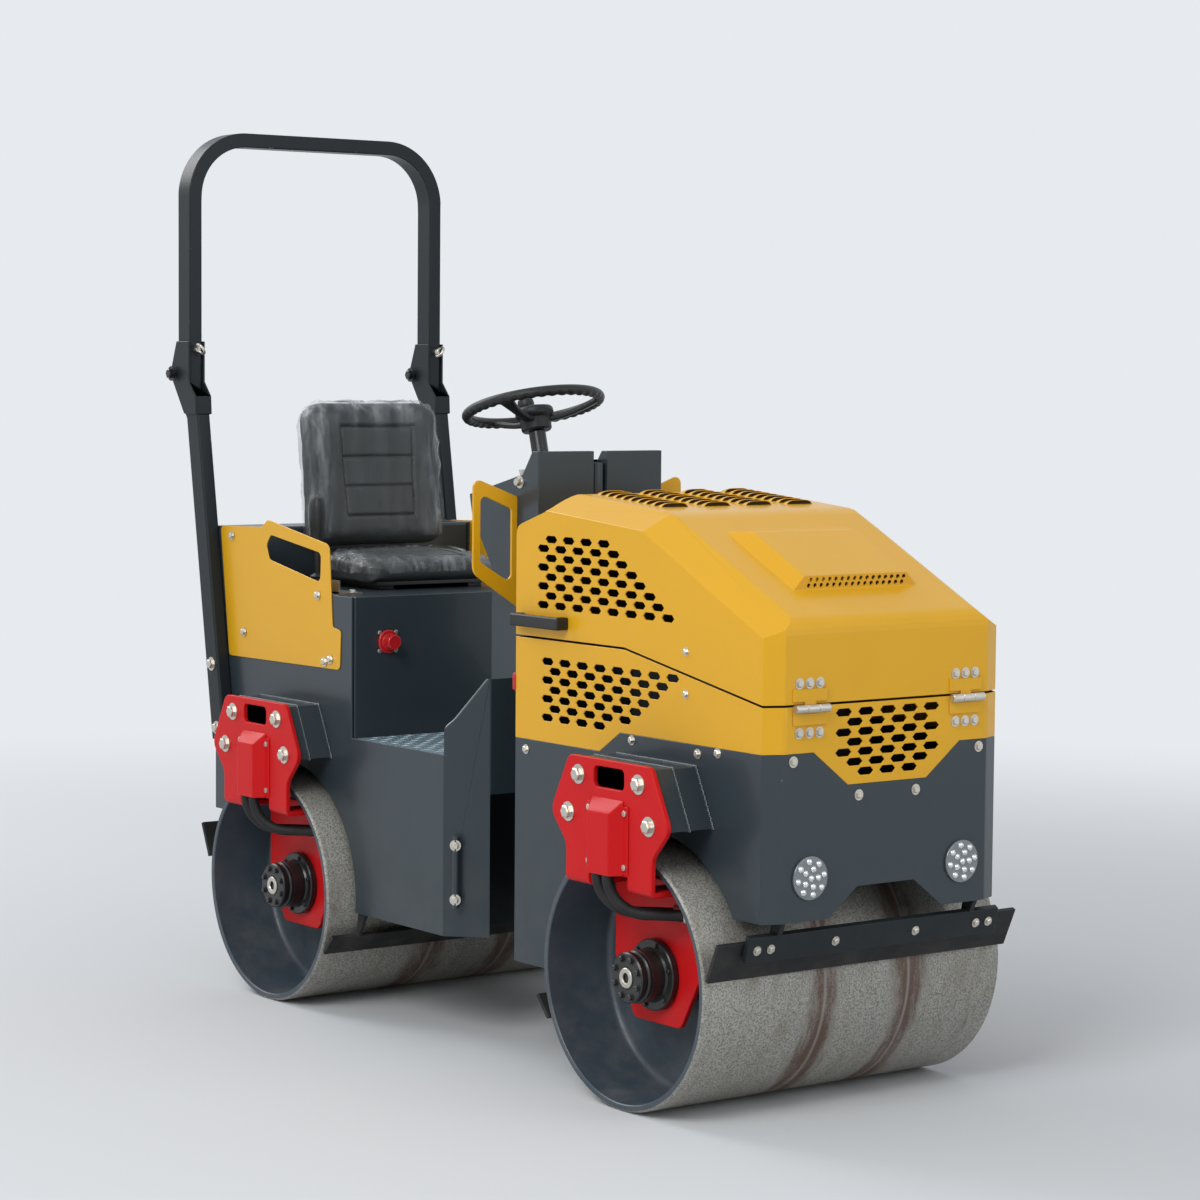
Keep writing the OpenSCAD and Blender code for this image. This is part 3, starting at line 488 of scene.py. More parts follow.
@dataclass(frozen=True)
class DrumSteel(Surface):
    """Rolled steel of a drum's face: speckled, with rust bands round it.

    Attributes:
        slot: Slot of the record.
        pale: Colour of the clean steel.
        speck: Colour of the dark specks.
        rust: Colour of the bands.
        clay: Colour of the large stains.
        worn: Colour of the bright line in a band's middle.
        bands: Distance of each rust band from the middle, in metres.
        reach: Where a band starts to fade and where it ends, in metres from its middle.
    """

    slot: str = "drum_steel"
    pale: Colour = (0.43, 0.42, 0.385)
    speck: Colour = (0.175, 0.17, 0.15)
    rust: Colour = (0.115, 0.058, 0.038)
    clay: Colour = (0.24, 0.22, 0.17)
    worn: Colour = (0.34, 0.33, 0.31)
    bands: Pair = (-0.086, 0.145)
    reach: Pair = (0.004, 0.085)

    def wire(self, w: Wiring) -> Node:
        """Wires specks, stains and rust bands together."""
        fine = w.noise(w.place(), 230.0, 4.0, 0.72)
        cloud = w.noise(w.place((1, 2.2, 1)), 9.0, 6.0, 0.62)
        base = w.mix(w.spread(fine, 0.36, 0.60), rgba(self.speck), rgba(self.pale))
        colour = w.mix(w.spread(cloud, 0.46, 0.76, (0.0, 0.5)), base, rgba(self.clay))
        across = w.add("ShaderNodeSeparateXYZ", {0: w.place()}).outputs["Y"]
        ragged = w.sum("ADD", w.noise(w.place((5, 22, 5)), 1.0, 6.0, 0.72), w.sum("MULTIPLY", fine, 0.35))
        for band in self.bands:
            away = w.sum("ABSOLUTE", w.sum("SUBTRACT", across, band))
            shape = w.spread(away, *self.reach, (0.9, 0.0))
            grain = w.sum("MULTIPLY", w.sum("SUBTRACT", fine, 0.5), 1.5)
            uneven = w.sum("ADD", grain, w.sum("MULTIPLY", w.sum("SUBTRACT", ragged, 0.69), 2.4))
            patch = w.spread(w.sum("ADD", shape, uneven), 0.32, 0.95, (0.0, 0.92))
            colour = w.mix(patch, colour, rgba(self.rust))
            line = w.spread(away, 0.001, 0.006, (0.6, 0.0))
            colour = w.mix(line, colour, rgba(self.worn))
        rough = w.spread(cloud, 0.3, 0.75, (0.46, 0.72))
        return w.shader(colour, rough, w.bump(0.35, 0.001, fine), Metallic=0.45)


STEEL = DrumSteel()


class Vinyl(Surface):
    """Black seat vinyl with a leather grain.

    Attributes:
        slot: Slot of the record.
        black: Colour of the clean vinyl.
    """

    slot: str = "seat_vinyl"
    black: Colour = (0.021, 0.025, 0.027)

    def wire(self, w: Wiring) -> Node:
        """Wires grain, creases and dust together."""
        cells = w.add(
            "ShaderNodeTexVoronoi", {"Vector": w.place(), "Scale": 420.0}, feature="DISTANCE_TO_EDGE"
        ).outputs[0]
        crease = w.noise(w.place(), 46.0, 4.0, 0.6)
        height = w.sum("ADD", w.spread(cells, 0.0, 0.14), w.sum("MULTIPLY", crease, 0.8))
        colour = w.effect(EFFECTS.drift, Colour=rgba(self.black), Amount=0.4, Scale=12.0).outputs[0]
        dusty = w.mix(w.effect(EFFECTS.dust, Top=0.6, Amount=0.5).outputs[0], colour, rgba(DUST))
        rough = w.spread(crease, 0.3, 0.7, (0.40, 0.56))
        return w.shader(dusty, rough, w.bump(0.28, 0.0006, height), Sheen_Weight=0.1)


VINYL = Vinyl()


class Film(Surface):
    """Clear packing film, clouded where it creases, with whitish painted glare along its slack edges.

    Attributes:
        slot: Slot of the record.
        tag: Name of the material.
        clear: Colour of the flat film.
        crease_glare: Colour of its creases: partly their real haze, partly painted glare.
    """

    slot: str = "seat_vinyl"
    tag: str = "clear_film"
    clear: Colour = (0.30, 0.33, 0.35)
    crease_glare: Colour = (0.62, 0.65, 0.67)

    def wire(self, w: Wiring) -> Node:
        """Wires folds, creases, haze and painted glare together."""
        fold = w.noise(w.place((22, 26, 5)), 1.0, 4.0, 0.58)
        fine = w.noise(w.place((60, 60, 16)), 1.0, 3.0, 0.55)
        edge = w.add("ShaderNodeAttribute", attribute_name="loose").outputs["Fac"]
        crease = w.spread(fold, 0.34, 0.78)
        # Alpha: whitish where the film creases and hangs slack, partly real haze and partly painted glare.
        haze_and_glare = w.line(edge, w.sum("MULTIPLY", crease, 0.50), 0.03)
        normal = w.bump(0.6, 0.005, w.sum("ADD", fold, fine))
        tint = w.mix(crease, rgba(self.clear), rgba(self.crease_glare))
        return w.shader(tint, 0.14, normal, Alpha=haze_and_glare)


FILM = Film()


class LampGlass(Surface):
    """Bright lamp face with a clear glossy cover.

    Attributes:
        slot: Slot of the record.
        dull: Colour of the mirror's hollows.
        bright: Colour of its ridges.
    """

    slot: str = "lamp"
    dull: Colour = (0.55, 0.58, 0.59)
    bright: Colour = (0.90, 0.92, 0.92)

    def wire(self, w: Wiring) -> Node:
        """Wires the rippled mirror and its cover together."""
        ripple = w.noise(w.place(), 260.0, 3.0, 0.6)
        colour = w.mix(w.spread(ripple, 0.35, 0.65), rgba(self.dull), rgba(self.bright))
        rough = w.spread(ripple, 0.3, 0.7, (0.06, 0.2))
        return w.shader(colour, rough, w.bump(0.25, 0.001, ripple), Metallic=0.8, Coat_Weight=1.0)


LAMP = LampGlass()


def link(mesh: Mesh, name: str) -> Piece:
    """Puts a mesh into the scene as a new object at the origin."""
    made = bpy.data.objects.new(name, mesh)
    bpy.context.scene.collection.objects.link(made)
    return made


def settle(piece: Piece) -> None:
    """Applies a piece's modifiers, so that its mesh is plain.

    Args:
        piece: Object to change.
    """
    bpy.context.view_layer.update()
    graph = bpy.context.evaluated_depsgraph_get()
    mesh = bpy.data.meshes.new_from_object(piece.evaluated_get(graph))
    old = piece.data
    piece.modifiers.clear()
    piece.data = mesh
    bpy.data.meshes.remove(old)


def smooth(mesh: Mesh, degrees: float = 32.0) -> None:
    """Shades a mesh smooth with sharp edges over an angle."""
    mesh.shade_smooth()
    mesh.set_sharp_from_angle(angle=math.radians(degrees))


def formed(shape: bmesh.types.BMesh, name: str, degrees: float = 32.0) -> Piece:
    """Turns a finished form into a smooth object.

    Args:
        shape: The form, which is freed.
        name: Name of the object.
        degrees: Angle over which an edge stays sharp.

    Returns:
        The object.
    """
    mesh = bpy.data.meshes.new(name)
    shape.to_mesh(mesh)
    shape.free()
    smooth(mesh, degrees)
    return link(mesh, name)


def rows(mesh: Mesh, layer: str = "co") -> np.ndarray:
    """Reads the points of a mesh, or their normals, one to a row."""
    values = np.empty(len(mesh.vertices) * 3)
    mesh.vertices.foreach_get(layer, values)
    return values.reshape(-1, 3)


def move(mesh: Mesh, points: np.ndarray) -> None:
    """Moves every point of a mesh to its place in the rows."""
    mesh.vertices.foreach_set("co", points.ravel())
    mesh.update()


def dress(piece: Piece, body: str, *finishes: Surface) -> Piece:
    """Gives a piece its finishes and lets it ride on its body.

    Args:
        piece: The piece.
        body: Name of the body that carries it.
        *finishes: Finish of each material slot; the first names the record's slot.

    Returns:
        The piece.
    """
    slots = piece.data.materials
    for i, finish in enumerate(finishes):
        if i < len(slots):
            slots[i] = finish.material()
        else:
            slots.append(finish.material())
    while len(slots) > len(finishes):
        slots.pop()
    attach(piece, body)
    log.info("%s rides on %s with %d faces", piece.name, body, len(piece.data.polygons))
    return piece


def mark(piece: Piece, test: Callable[[Vector, Vector], bool]) -> None:
    """Gives the faces that pass a test the second finish.

    Args:
        piece: The piece.
        test: Says whether a face is in the second finish, from its middle and its normal.
    """
    for face in piece.data.polygons:
        face.material_index = int(test(face.center, face.normal))


def body_of(node: str) -> str:
    """Gives the name of the body that carries a CAD node."""
    return frame["nodes"][node]["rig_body"]


def soften(node: str, width: float, fold: float = 0.0, tube: float = 0.0) -> Piece:
    """Copies a CAD node with rounded edges, and marks those edges as worn.

    Args:
        node: Name of the node.
        width: Rounding of sharp edges, in millimetres.
        fold: Rounding of shallow bends, where it isn't the same.
        tube: Rounding of edges over 300 mm long, where it isn't the same.

    Returns:
        The copy, which replaces the node.
    """
    source = frame["nodes"][node].data
    low, high = (np.array(corner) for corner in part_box(node))
    past, least = 3e-4, 0.25
    for share in (1.0, 0.5, least):
        made = link(source.copy(), node + "_shell")
        _round_edges(made, width * share, fold * share, tube * share)
        points = rows(made.data)
        if (points.min(0) > low - past).all() and (points.max(0) < high + past).all():
            break
        if share > least:
            log.info("%s is rounded less, at %.2f", node, share / 2)
            bpy.data.objects.remove(made)
    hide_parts(node)
    return made


# Bend of a sharp edge, and the least and most of a fold's, in degrees.
SHARP, SHALLOW, STEEP = 24.0, 14.0, 68.0
# Least length of a fold, and of a tube's edge, in metres.
LONG_FOLD, LONG_TUBE = 0.05, 0.3


def _round_edges(piece: Piece, width: float, fold: float, tube: float) -> None:
    """Rounds the edges of a copied node and stores the wear attribute.

    Args:
        piece: Copy of the node.
        width: Rounding of sharp edges, in millimetres.
        fold: Rounding of shallow bends, or 0.
        tube: Rounding of long edges, or 0.
    """
    shape = bmesh.new()
    shape.from_mesh(piece.data)
    bmesh.ops.remove_doubles(shape, verts=shape.verts, dist=2e-5)
    flat = math.radians(0.5)
    bmesh.ops.dissolve_limit(
        shape, angle_limit=flat, verts=shape.verts, edges=shape.edges, use_dissolve_boundaries=False
    )
    most = max(width, fold, tube)
    weight = shape.edges.layers.float.new("bevel_weight_edge")
    for edge in shape.edges:
        if len(edge.link_faces) != 2:
            continue
        bend = math.degrees(edge.calc_face_angle(0.0))
        size = 0.0
        if bend > SHARP:
            size = tube if tube and edge.calc_length() > LONG_TUBE else width
        if fold and SHALLOW < bend < STEEP and edge.calc_length() > LONG_FOLD:
            size = fold
        edge[weight] = size / most
    shape.to_mesh(piece.data)
    shape.free()
    piece.data.materials.clear()
    for _ in range(2):
        piece.data.materials.append(None)
    bevel = piece.modifiers.new("Round", "BEVEL")
    bevel.limit_method = "WEIGHT"
    bevel.width = most / 1000
    bevel.segments = 2
    bevel.use_clamp_overlap = False
    bevel.material = 1
    even = piece.modifiers.new("Even", "WEIGHTED_NORMAL")
    even.keep_sharp = True
    smooth(piece.data, 40)
    settle(piece)
    mesh = piece.data
    marks = np.zeros(len(mesh.polygons), np.int32)
    mesh.polygons.foreach_get("material_index", marks)
    wear = mesh.attributes.new("wear", "FLOAT", "FACE")
    wear.data.foreach_set("value", marks.astype(np.float32))
    mesh.polygons.foreach_set("material_index", np.zeros_like(marks))


def lathe(
    name: str,
    profile: Sequence[Pair],
    centre: Vector,
    axis: Vector,
    steps: int = 48,
    marks: Sequence[int] = (),
) -> Piece:
    """Turns a profile round an axis.

    Args:
        name: Name of the object.
        profile: Radius and distance along the axis of each point, in millimetres.
        centre: Point that the distances start from.
        axis: Direction of the axis.
        steps: Faces round the axis.
        marks: Material index of each step of the profile.

    Returns:
        The turned object.
    """
    turn = axis.to_track_quat("Z", "Y").to_matrix()
    shape = bmesh.new()
    rings = []
    for radius, along in profile:
        ring = []
        for i in range(steps):
            a = math.tau * i / steps
            spot = Vector((radius * math.cos(a), radius * math.sin(a), along)) / 1000
            ring.append(shape.verts.new(centre + turn @ spot))
        rings.append(ring)
    for k in range(len(rings) - 1):
        for i in range(steps):
            j = (i + 1) % steps
            face = shape.faces.new((rings[k][i], rings[k][j], rings[k + 1][j], rings[k + 1][i]))
            face.material_index = marks[k] if marks else 0
    bmesh.ops.remove_doubles(shape, verts=shape.verts, dist=1e-6)
    bmesh.ops.recalc_face_normals(shape, faces=shape.faces)
    return formed(shape, name)


def sweep(
    name: str,
    path: Sequence[Vector],
    ring: Callable[[float], Sequence[Pair]],
    up: Vector,
    closed: bool = False,
) -> Piece:
    """Sweeps a changing outline along a path.

    Args:
        name: Name of the object.
        path: Points of the path, in metres.
        ring: Gives the outline, in millimetres sideways and up, for a share of the path.
        up: Direction that stays up along the path.
        closed: Whether the path ends where it starts.

    Returns:
        The swept object.
    """
    shape = bmesh.new()
    rings = []
    count = len(path)
    for i, spot in enumerate(path):
        ahead = path[(i + 1) % count] if closed or i < count - 1 else spot
        behind = path[i - 1] if closed or i > 0 else spot
        along = (ahead - behind).normalized()
        side = along.cross(up).normalized()
        rise = side.cross(along)
        share = i / count if closed else i / (count - 1)
        rings.append([shape.verts.new(spot + (side * a + rise * b) / 1000) for a, b in ring(share)])
    size = len(rings[0])
    for k in range(count if closed else count - 1):
        ahead = rings[(k + 1) % count]
        for i in range(size):
            j = (i + 1) % size
            shape.faces.new((rings[k][i], rings[k][j], ahead[j], ahead[i]))
    if not closed:
        shape.faces.new(rings[0])
        shape.faces.new(rings[-1])
    bmesh.ops.recalc_face_normals(shape, faces=shape.faces)
    return formed(shape, name, 50)


def oval(wide: float, high: float, power: float = 2.0, count: int = 20) -> list[Pair]:
    """Gives a rounded outline.

    Args:
        wide: Half the width.
        high: Half the height.
        power: 2 for an ellipse, more for a squarer one.
        count: Points round it.

    Returns:
        The outline's points.
    """

    def bulge(share: float) -> float:
        """Pushes a share of the half size outwards."""
        return math.copysign(abs(share) ** (2 / power), share)

    turns = [math.tau * i / count for i in range(count)]
    return [(wide * bulge(math.cos(a)), high * bulge(math.sin(a))) for a in turns]


def join(name: str, pieces: Iterable[Piece]) -> Piece:
    """Joins pieces into one mesh.

    Args:
        name: Name of the joined object.
        pieces: Objects to join, which are removed.

    Returns:
        The joined object.
    """
    shape = bmesh.new()
    for piece in pieces:
        shape.from_mesh(piece.data)
        bpy.data.objects.remove(piece)
    return formed(shape, name)


class Head(Enum):
    """Shapes of a fastener's head: sides, height over radius, washer over radius."""

    HEX = (6, 0.62, 1.45)
    SCREW = (20, 0.45, 1.0)


def point_tree(name: str, inputs: dict[str, str]) -> tuple[Wiring, Any, dict[str, str]]:
    """Starts a geometry tree that sets forms on points.

    Args:
        name: Name of the tree.
        inputs: Socket type of each input besides the points and the material.

    Returns:
        The wiring, the tree's input sockets and the identifier of each input.
    """
    face = bpy.data.node_groups.new(name, "GeometryNodeTree").interface
    kinds = {"Geometry": "NodeSocketGeometry", **inputs, "Material": "NodeSocketMaterial"}
    ids = {}
    for key, kind in kinds.items():
        ids[key] = face.new_socket(name=key, in_out="INPUT", socket_type=kind).identifier
    face.new_socket(name="Geometry", in_out="OUTPUT", socket_type="NodeSocketGeometry")
    w = Wiring(face.id_data)
    return w, w.add("NodeGroupInput").outputs, ids


def set_forms(w: Wiring, given: Any, **form: Socket) -> None:
    """Ends a tree: sets the form on every point, makes it real and paints it.

    Args:
        w: Wiring of the tree.
        given: The tree's input sockets.
        **form: The form, its turn and its size.
    """
    many = w.add("GeometryNodeInstanceOnPoints", {"Points": given["Geometry"], **form})
    solid = w.add("GeometryNodeRealizeInstances", {"Geometry": many.outputs[0]})
    coat = {"Geometry": solid.outputs[0], "Material": given["Material"]}
    w.add("NodeGroupOutput", {0: w.add("GeometryNodeSetMaterial", coat).outputs[0]})


def raised(w: Wiring, form: Node, height: Any) -> Node:
    """Lifts a form in a geometry tree by a height."""
    lift = w.add("ShaderNodeCombineXYZ", {"Z": height}).outputs[0]
    return w.add("GeometryNodeTransform", {"Geometry": form.outputs[0], "Translation": lift})


class Fasteners:
    """Bolts and screws set on points, one mesh for each body, by Geometry Nodes."""

    def __init__(self, name: str, head: Head, finish: Surface) -> None:
        """Starts an empty set.

        Args:
            name: Start of the objects' names.
            head: Shape of the heads.
            finish: Their finish.
        """
        self.name, self.head, self.finish = name, head, finish
        self.spots: dict[str, list[tuple[Vector, Vector, float]]] = {}

    def add(self, body: str, spot: Vector, aim: Sequence[float], radius: float) -> None:
        """Sets one fastener.

        Args:
            body: Body that carries it.
            spot: Point on the surface.
            aim: Direction that its head faces.
            radius: Radius of the head, in millimetres.
        """
        self.spots.setdefault(body, []).append((Vector(spot), Vector(aim).normalized(), radius / 1000))

    def ring(
        self, body: str, centre: Vector, place: Triple, count: int, start: float, radius: float
    ) -> None:
        """Sets a ring of fasteners round an axle.

        Args:
            body: Body that carries them.
            centre: Middle of the drum or motor that they hold.
            place: Radius of the ring, distance of its face from the centre, and side, -1 or 1.
            count: Number of fasteners.
            start: Turn of the first one, in steps.
            radius: Radius of the heads, in millimetres.
        """
        wide, out, side = place
        for i in range(count):
            a = math.tau * (i + start) / count
            spot = Vector((wide * math.cos(a), side * out, wide * math.sin(a))) / 1000
            self.add(body, centre + spot, (0, side, 0), radius)

    def _tree(self) -> tuple[Tree, dict[str, str]]:
        """Builds the node tree that puts a head on every point, for a radius of 1.

        Returns:
            The tree and the identifier of each of its inputs.
        """
        inputs = {"Sides": "NodeSocketInt", "Height": "NodeSocketFloat", "Washer": "NodeSocketFloat"}
        w, given, ids = point_tree(self.name + " heads", inputs)
        seat, bevel, neck = 0.18, 0.14, 0.78
        sides, tall = given["Sides"], given["Height"]
        stem = w.add("GeometryNodeMeshCylinder", {"Vertices": sides, "Radius": 1.0, "Depth": tall})
        stem = raised(w, stem, w.line(tall, 0.5, seat))
        cone = {"Vertices": sides, "Radius Bottom": 1.0, "Radius Top": neck, "Depth": bevel}
        crown = raised(w, w.add("GeometryNodeMeshCone", cone), w.sum("ADD", tall, seat))
        disc = {"Vertices": 20, "Radius": given["Washer"], "Depth": 0.2}
        washer = raised(w, w.add("GeometryNodeMeshCylinder", disc), 0.08)
        whole = w.add("GeometryNodeJoinGeometry")
        for part in (stem, crown, washer):
            w.tree.links.new(part.outputs[0], whole.inputs[0])
        aim, size = w.named("aim", "FLOAT_VECTOR"), w.named("size", "FLOAT")
        turn = w.add("FunctionNodeAlignRotationToVector", {"Vector": aim}, axis="Z").outputs[0]
        set_forms(w, given, Instance=whole.outputs[0], Rotation=turn, Scale=size)
        return w.tree, ids

    def build(self) -> None:
        """Turns the points of each body into one plain mesh of heads."""
        tree, ids = self._tree()
        sides, height, washer = self.head.value
        for body, spots in self.spots.items():
            mesh = bpy.data.meshes.new(f"{self.name}_{body}")
            mesh.from_pydata([s[0] for s in spots], [], [])
            aims = mesh.attributes.new("aim", "FLOAT_VECTOR", "POINT")
            aims.data.foreach_set("vector", [c for s in spots for c in s[1]])
            mesh.attributes.new("size", "FLOAT", "POINT").data.foreach_set("value", [s[2] for s in spots])
            piece = link(mesh, f"{self.name}_{body}")
            heads = piece.modifiers.new("Heads", "NODES")
            heads.node_group = tree
            for key, value in (("Sides", sides), ("Height", height), ("Washer", washer)):
                heads[ids[key]] = value
            heads[ids["Material"]] = self.finish.material()
            settle(piece)
            smooth(piece.data)
            dress(piece, body, self.finish)


class Scatter:
    """One small form set on many points of a surface, by Geometry Nodes."""

    def __init__(self, name: str, form: Piece, finish: Surface) -> None:
        """Keeps the form and its finish."""
        self.name, self.form, self.finish = name, form, finish

    def build(
        self, body: str, spots: Sequence[Vector], aim: Vector, turns: Sequence[float] = ()
    ) -> Piece:
        """Puts the form on every point.

        Args:
            body: Body that carries the pieces.
            spots: The points.
            aim: Direction that the forms face.
            turns: Turn of each form round that direction, where it isn't 0.

        Returns:
            The plain mesh of all the forms, riding on its body.
        """
        inputs = {"Form": "NodeSocketObject", "Aim": "NodeSocketVector"}
        w, given, ids = point_tree(self.name + " field", inputs)
        form = w.add("GeometryNodeObjectInfo", {"Object": given["Form"]}).outputs["Geometry"]
        spin = w.add("ShaderNodeCombineXYZ", {"Z": w.named("turn", "FLOAT")}).outputs[0]
        face = w.add("FunctionNodeAlignRotationToVector", {"Vector": given["Aim"]}, axis="Z").outputs[0]
        pair = {"Rotation": face, "Rotate By": spin}
        both = w.add("FunctionNodeRotateRotation", pair, rotation_space="LOCAL")
        set_forms(w, given, Instance=form, Rotation=both.outputs[0])
        mesh = bpy.data.meshes.new(self.name)
        mesh.from_pydata(list(spots), [], [])
        turn = mesh.attributes.new("turn", "FLOAT", "POINT")
        turn.data.foreach_set("value", list(turns or [0.0] * len(spots)))
        piece = link(mesh, self.name)
        layer = piece.modifiers.new("Field", "NODES")
        layer.node_group = w.tree
        layer[ids["Form"]] = self.form
        layer[ids["Aim"]] = tuple(aim)
        layer[ids["Material"]] = self.finish.material()
        settle(piece)
        smooth(piece.data, 60)
        bpy.data.objects.remove(self.form)
        return dress(piece, body, self.finish)


@dataclass
class Studio:
    """Pale floor, soft light and the camera at the photograph's place.

    Attributes:
        eye: Camera's place off the pin, in millimetres from the ground.
        yaw: Direction of view round the vertical, in degrees.
        pitch: Its slope, in degrees.
        roll: Turn of the picture, in degrees.
        lens: Focal length on a 36 mm sensor.
        pale: Colour of the background.
        lamps: Name of each lamp, its place and side in metres, and its power in watts.
    """

    eye: Triple = (6054.7, -4409.1, 1557.7)
    yaw: float = 143.548
    pitch: float = -4.1504
    roll: float = 0.4756
    lens: float = 96.69
    pale: Colour = (0.80, 0.83, 0.86)
    lamps: tuple[tuple[str, Triple, float, float], ...] = (
        ("key", (3.0, -5.4, 5.0), 3.2, 250.0),
        ("fill", (5.8, 1.6, 2.6), 3.0, 48.0),
        ("back", (-4.6, -1.5, 4.4), 3.0, 130.0),
    )

    def build(self) -> None:
        """Makes the camera, the floor, the world and the lamps."""
        self._camera()
        self._floor()
        self._world()
        for lamp in self.lamps:
            self._lamp(*lamp)
        bpy.context.scene.view_settings.view_transform = "Standard"

    def _camera(self) -> None:
        """Sets the camera."""
        yaw, pitch, roll = (math.radians(a) for a in (self.yaw, self.pitch, self.roll))
        flat = math.cos(pitch)
        ahead = Vector((flat * math.cos(yaw), flat * math.sin(yaw), math.sin(pitch)))
        right = ahead.cross(UP).normalized()
        up = right.cross(ahead)
        wide = right * math.cos(roll) + up * math.sin(roll)
        tall = up * math.cos(roll) - right * math.sin(roll)
        camera = bpy.data.cameras.new("photo_camera")
        camera.lens, camera.sensor_width, camera.clip_end = self.lens, 36.0, 200.0
        holder = bpy.data.objects.new("photo_camera", camera)
        spot = Vector((AXLES.pin.x, AXLES.pin.y, 0)) + Vector(self.eye) / 1000
        turn = Matrix((wide, tall, -ahead)).transposed().to_4x4()
        holder.matrix_world = Matrix.Translation(spot) @ turn
        bpy.context.scene.collection.objects.link(holder)
        bpy.context.scene.camera = holder

    def _floor(self) -> None:
        """Lays the plain pale floor."""
        mesh = bpy.data.meshes.new("studio_floor")
        far = 60
        corners = [(-far, -far, 0), (far, -far, 0), (far, far, 0), (-far, far, 0)]
        mesh.from_pydata(corners, [], [(0, 1, 2, 3)])
        floor = link(mesh, "studio_floor")
        made = bpy.data.materials.new("studio_floor")
        w = emptied(made)
        lit = w.add("ShaderNodeBsdfDiffuse", {"Color": (0.66, 0.67, 0.68, 1)})
        haze = w.add("ShaderNodeEmission", {"Color": rgba(self.pale), "Strength": 1.0})
        away = w.add("ShaderNodeVectorMath", {0: w.place()}, operation="LENGTH").outputs["Value"]
        share = w.sum("MULTIPLY", w.spread(away, 1.9, 6.5), self._seen(w))
        both = w.add("ShaderNodeMixShader", {0: share, 1: lit.outputs[0], 2: haze.outputs[0]})
        w.add("ShaderNodeOutputMaterial", {"Surface": both.outputs[0]})
        mesh.materials.append(made)

    def _seen(self, w: Wiring) -> Socket:
        """Gives 1 for rays that show the background to the eye, in metal or through glass."""
        path = w.add("ShaderNodeLightPath").outputs
        some = w.sum("MAXIMUM", path["Is Camera Ray"], path["Is Glossy Ray"])
        return w.sum("MAXIMUM", some, path["Is Transmission Ray"])

    def _world(self) -> None:
        """Lights the scene softly from all round, brighter from above."""
        world = bpy.data.worlds.new("studio_world")
        bpy.context.scene.world = world
        w = emptied(world)
        height = w.height(w.add("ShaderNodeTexCoord").outputs["Generated"])
        sky = w.mix(w.spread(height, -0.1, 0.7), (0.58, 0.59, 0.61, 1), (0.90, 0.95, 1.0, 1))
        soft = w.add("ShaderNodeBackground", {"Color": sky, "Strength": 0.60})
        plain = w.add("ShaderNodeBackground", {"Color": rgba(self.pale), "Strength": 1.0})
        both = w.add("ShaderNodeMixShader", {0: self._seen(w), 1: soft.outputs[0], 2: plain.outputs[0]})
        w.add("ShaderNodeOutputWorld", {"Surface": both.outputs[0]})

    def _lamp(self, name: str, spot: Triple, size: float, power: float) -> None:
        """Hangs a soft lamp that faces the machine.

        Args:
            name: Name of the lamp.
            spot: Its place, in metres.
            size: Length of its side.
            power: Its power in watts.
        """
        lamp = bpy.data.lights.new(name, "AREA")
        lamp.energy, lamp.size = power, size
        holder = bpy.data.objects.new(name, lamp)
        holder.location = spot
        aim = Vector((0, 0, 0.7)) - Vector(spot)
        holder.rotation_euler = aim.to_track_quat("-Z", "Y").to_euler()
        bpy.context.scene.collection.objects.link(holder)


@dataclass(frozen=True)
class Shell:
    """How one CAD node is rounded and painted.

    Attributes:
        node: Name of the node.
        finish: Its finish.
        width: Rounding of its sharp edges, in millimetres.
        fold: Rounding of its shallow bends.
        tube: Rounding of its long edges.
    """

    node: str
    finish: Finish
    width: float
    fold: float = 0.0
    tube: float = 0.0

    def build(self) -> Piece:
        """Makes the rounded copy and dresses it."""
        made = soften(self.node, self.width, self.fold, self.tube)
        return dress(made, body_of(self.node), self.finish)


@dataclass
class Bodywork:
    """Plates, covers and bars that keep their CAD form, with rounded edges.

    Attributes:
        shells: How each of their nodes is rounded and painted.
    """

    shells: tuple[Shell, ...] = (
        Shell("front_sides", GREY, 1.2),
        Shell("front_panel", GREY, 1.0, fold=6.0),
        Shell("front_wall", GREY, 1.2),
        Shell("engine_deck", DARK, 1.0),
        Shell("engine", ENGINE, 8.0),
        Shell("band_sides", YELLOW, 0.9),
        Shell("band_front", YELLOW, 0.9, fold=6.0),
        Shell("hood_grips", PLASTIC, 4.0),
        Shell("front_hangers", RED, 2.0),
        Shell("rear_hangers", RED, 2.0),
        Shell("front_covers", RED, 2.0),
        Shell("rear_covers", RED, 2.0),
        Shell("centre_yoke", DARK, 1.5),
        Shell("steering_cylinder", IRON, 1.5),
        Shell("steering_rod", ZINC, 0.8),
        Shell("rear_sides", GREY, 1.2),
        Shell("rear_wall", GREY, 1.2),
        Shell("cross_wall", DARK, 1.2),
        Shell("foot_guard", GREY, 1.2, fold=6.0),
        Shell("floor_plate", FLOOR, 1.0),
        Shell("seat_box", GREY, 1.4),
        Shell("water_tank", TANK, 8.0),
        Shell("side_guards", YELLOW, 1.0),
        Shell("console", GREY, 1.6),
        Shell("console_handles", YELLOW, 1.3),
        Shell("steering_column", IRON, 1.5),
        Shell("seat_base", IRON, 1.2),
        Shell("lock_bar", GREY, 1.0),
        Shell("rops_posts", DARK, 1.5, tube=5.0),
        Shell("rops_hoop", DARK, 2.0, tube=5.0),
        Shell("rops_lock_pins", ZINC, 0.5),
        Shell("headlamps", LENS, 1.2),
        Shell("front_hoses", RUBBER, 0.6),
        Shell("rear_hoses", RUBBER, 0.6),
        Shell("stop_button", SIGNAL, 2.0),
    )

    def build(self) -> None:
        """Makes every shell."""
        for shell in self.shells:
            shell.build()


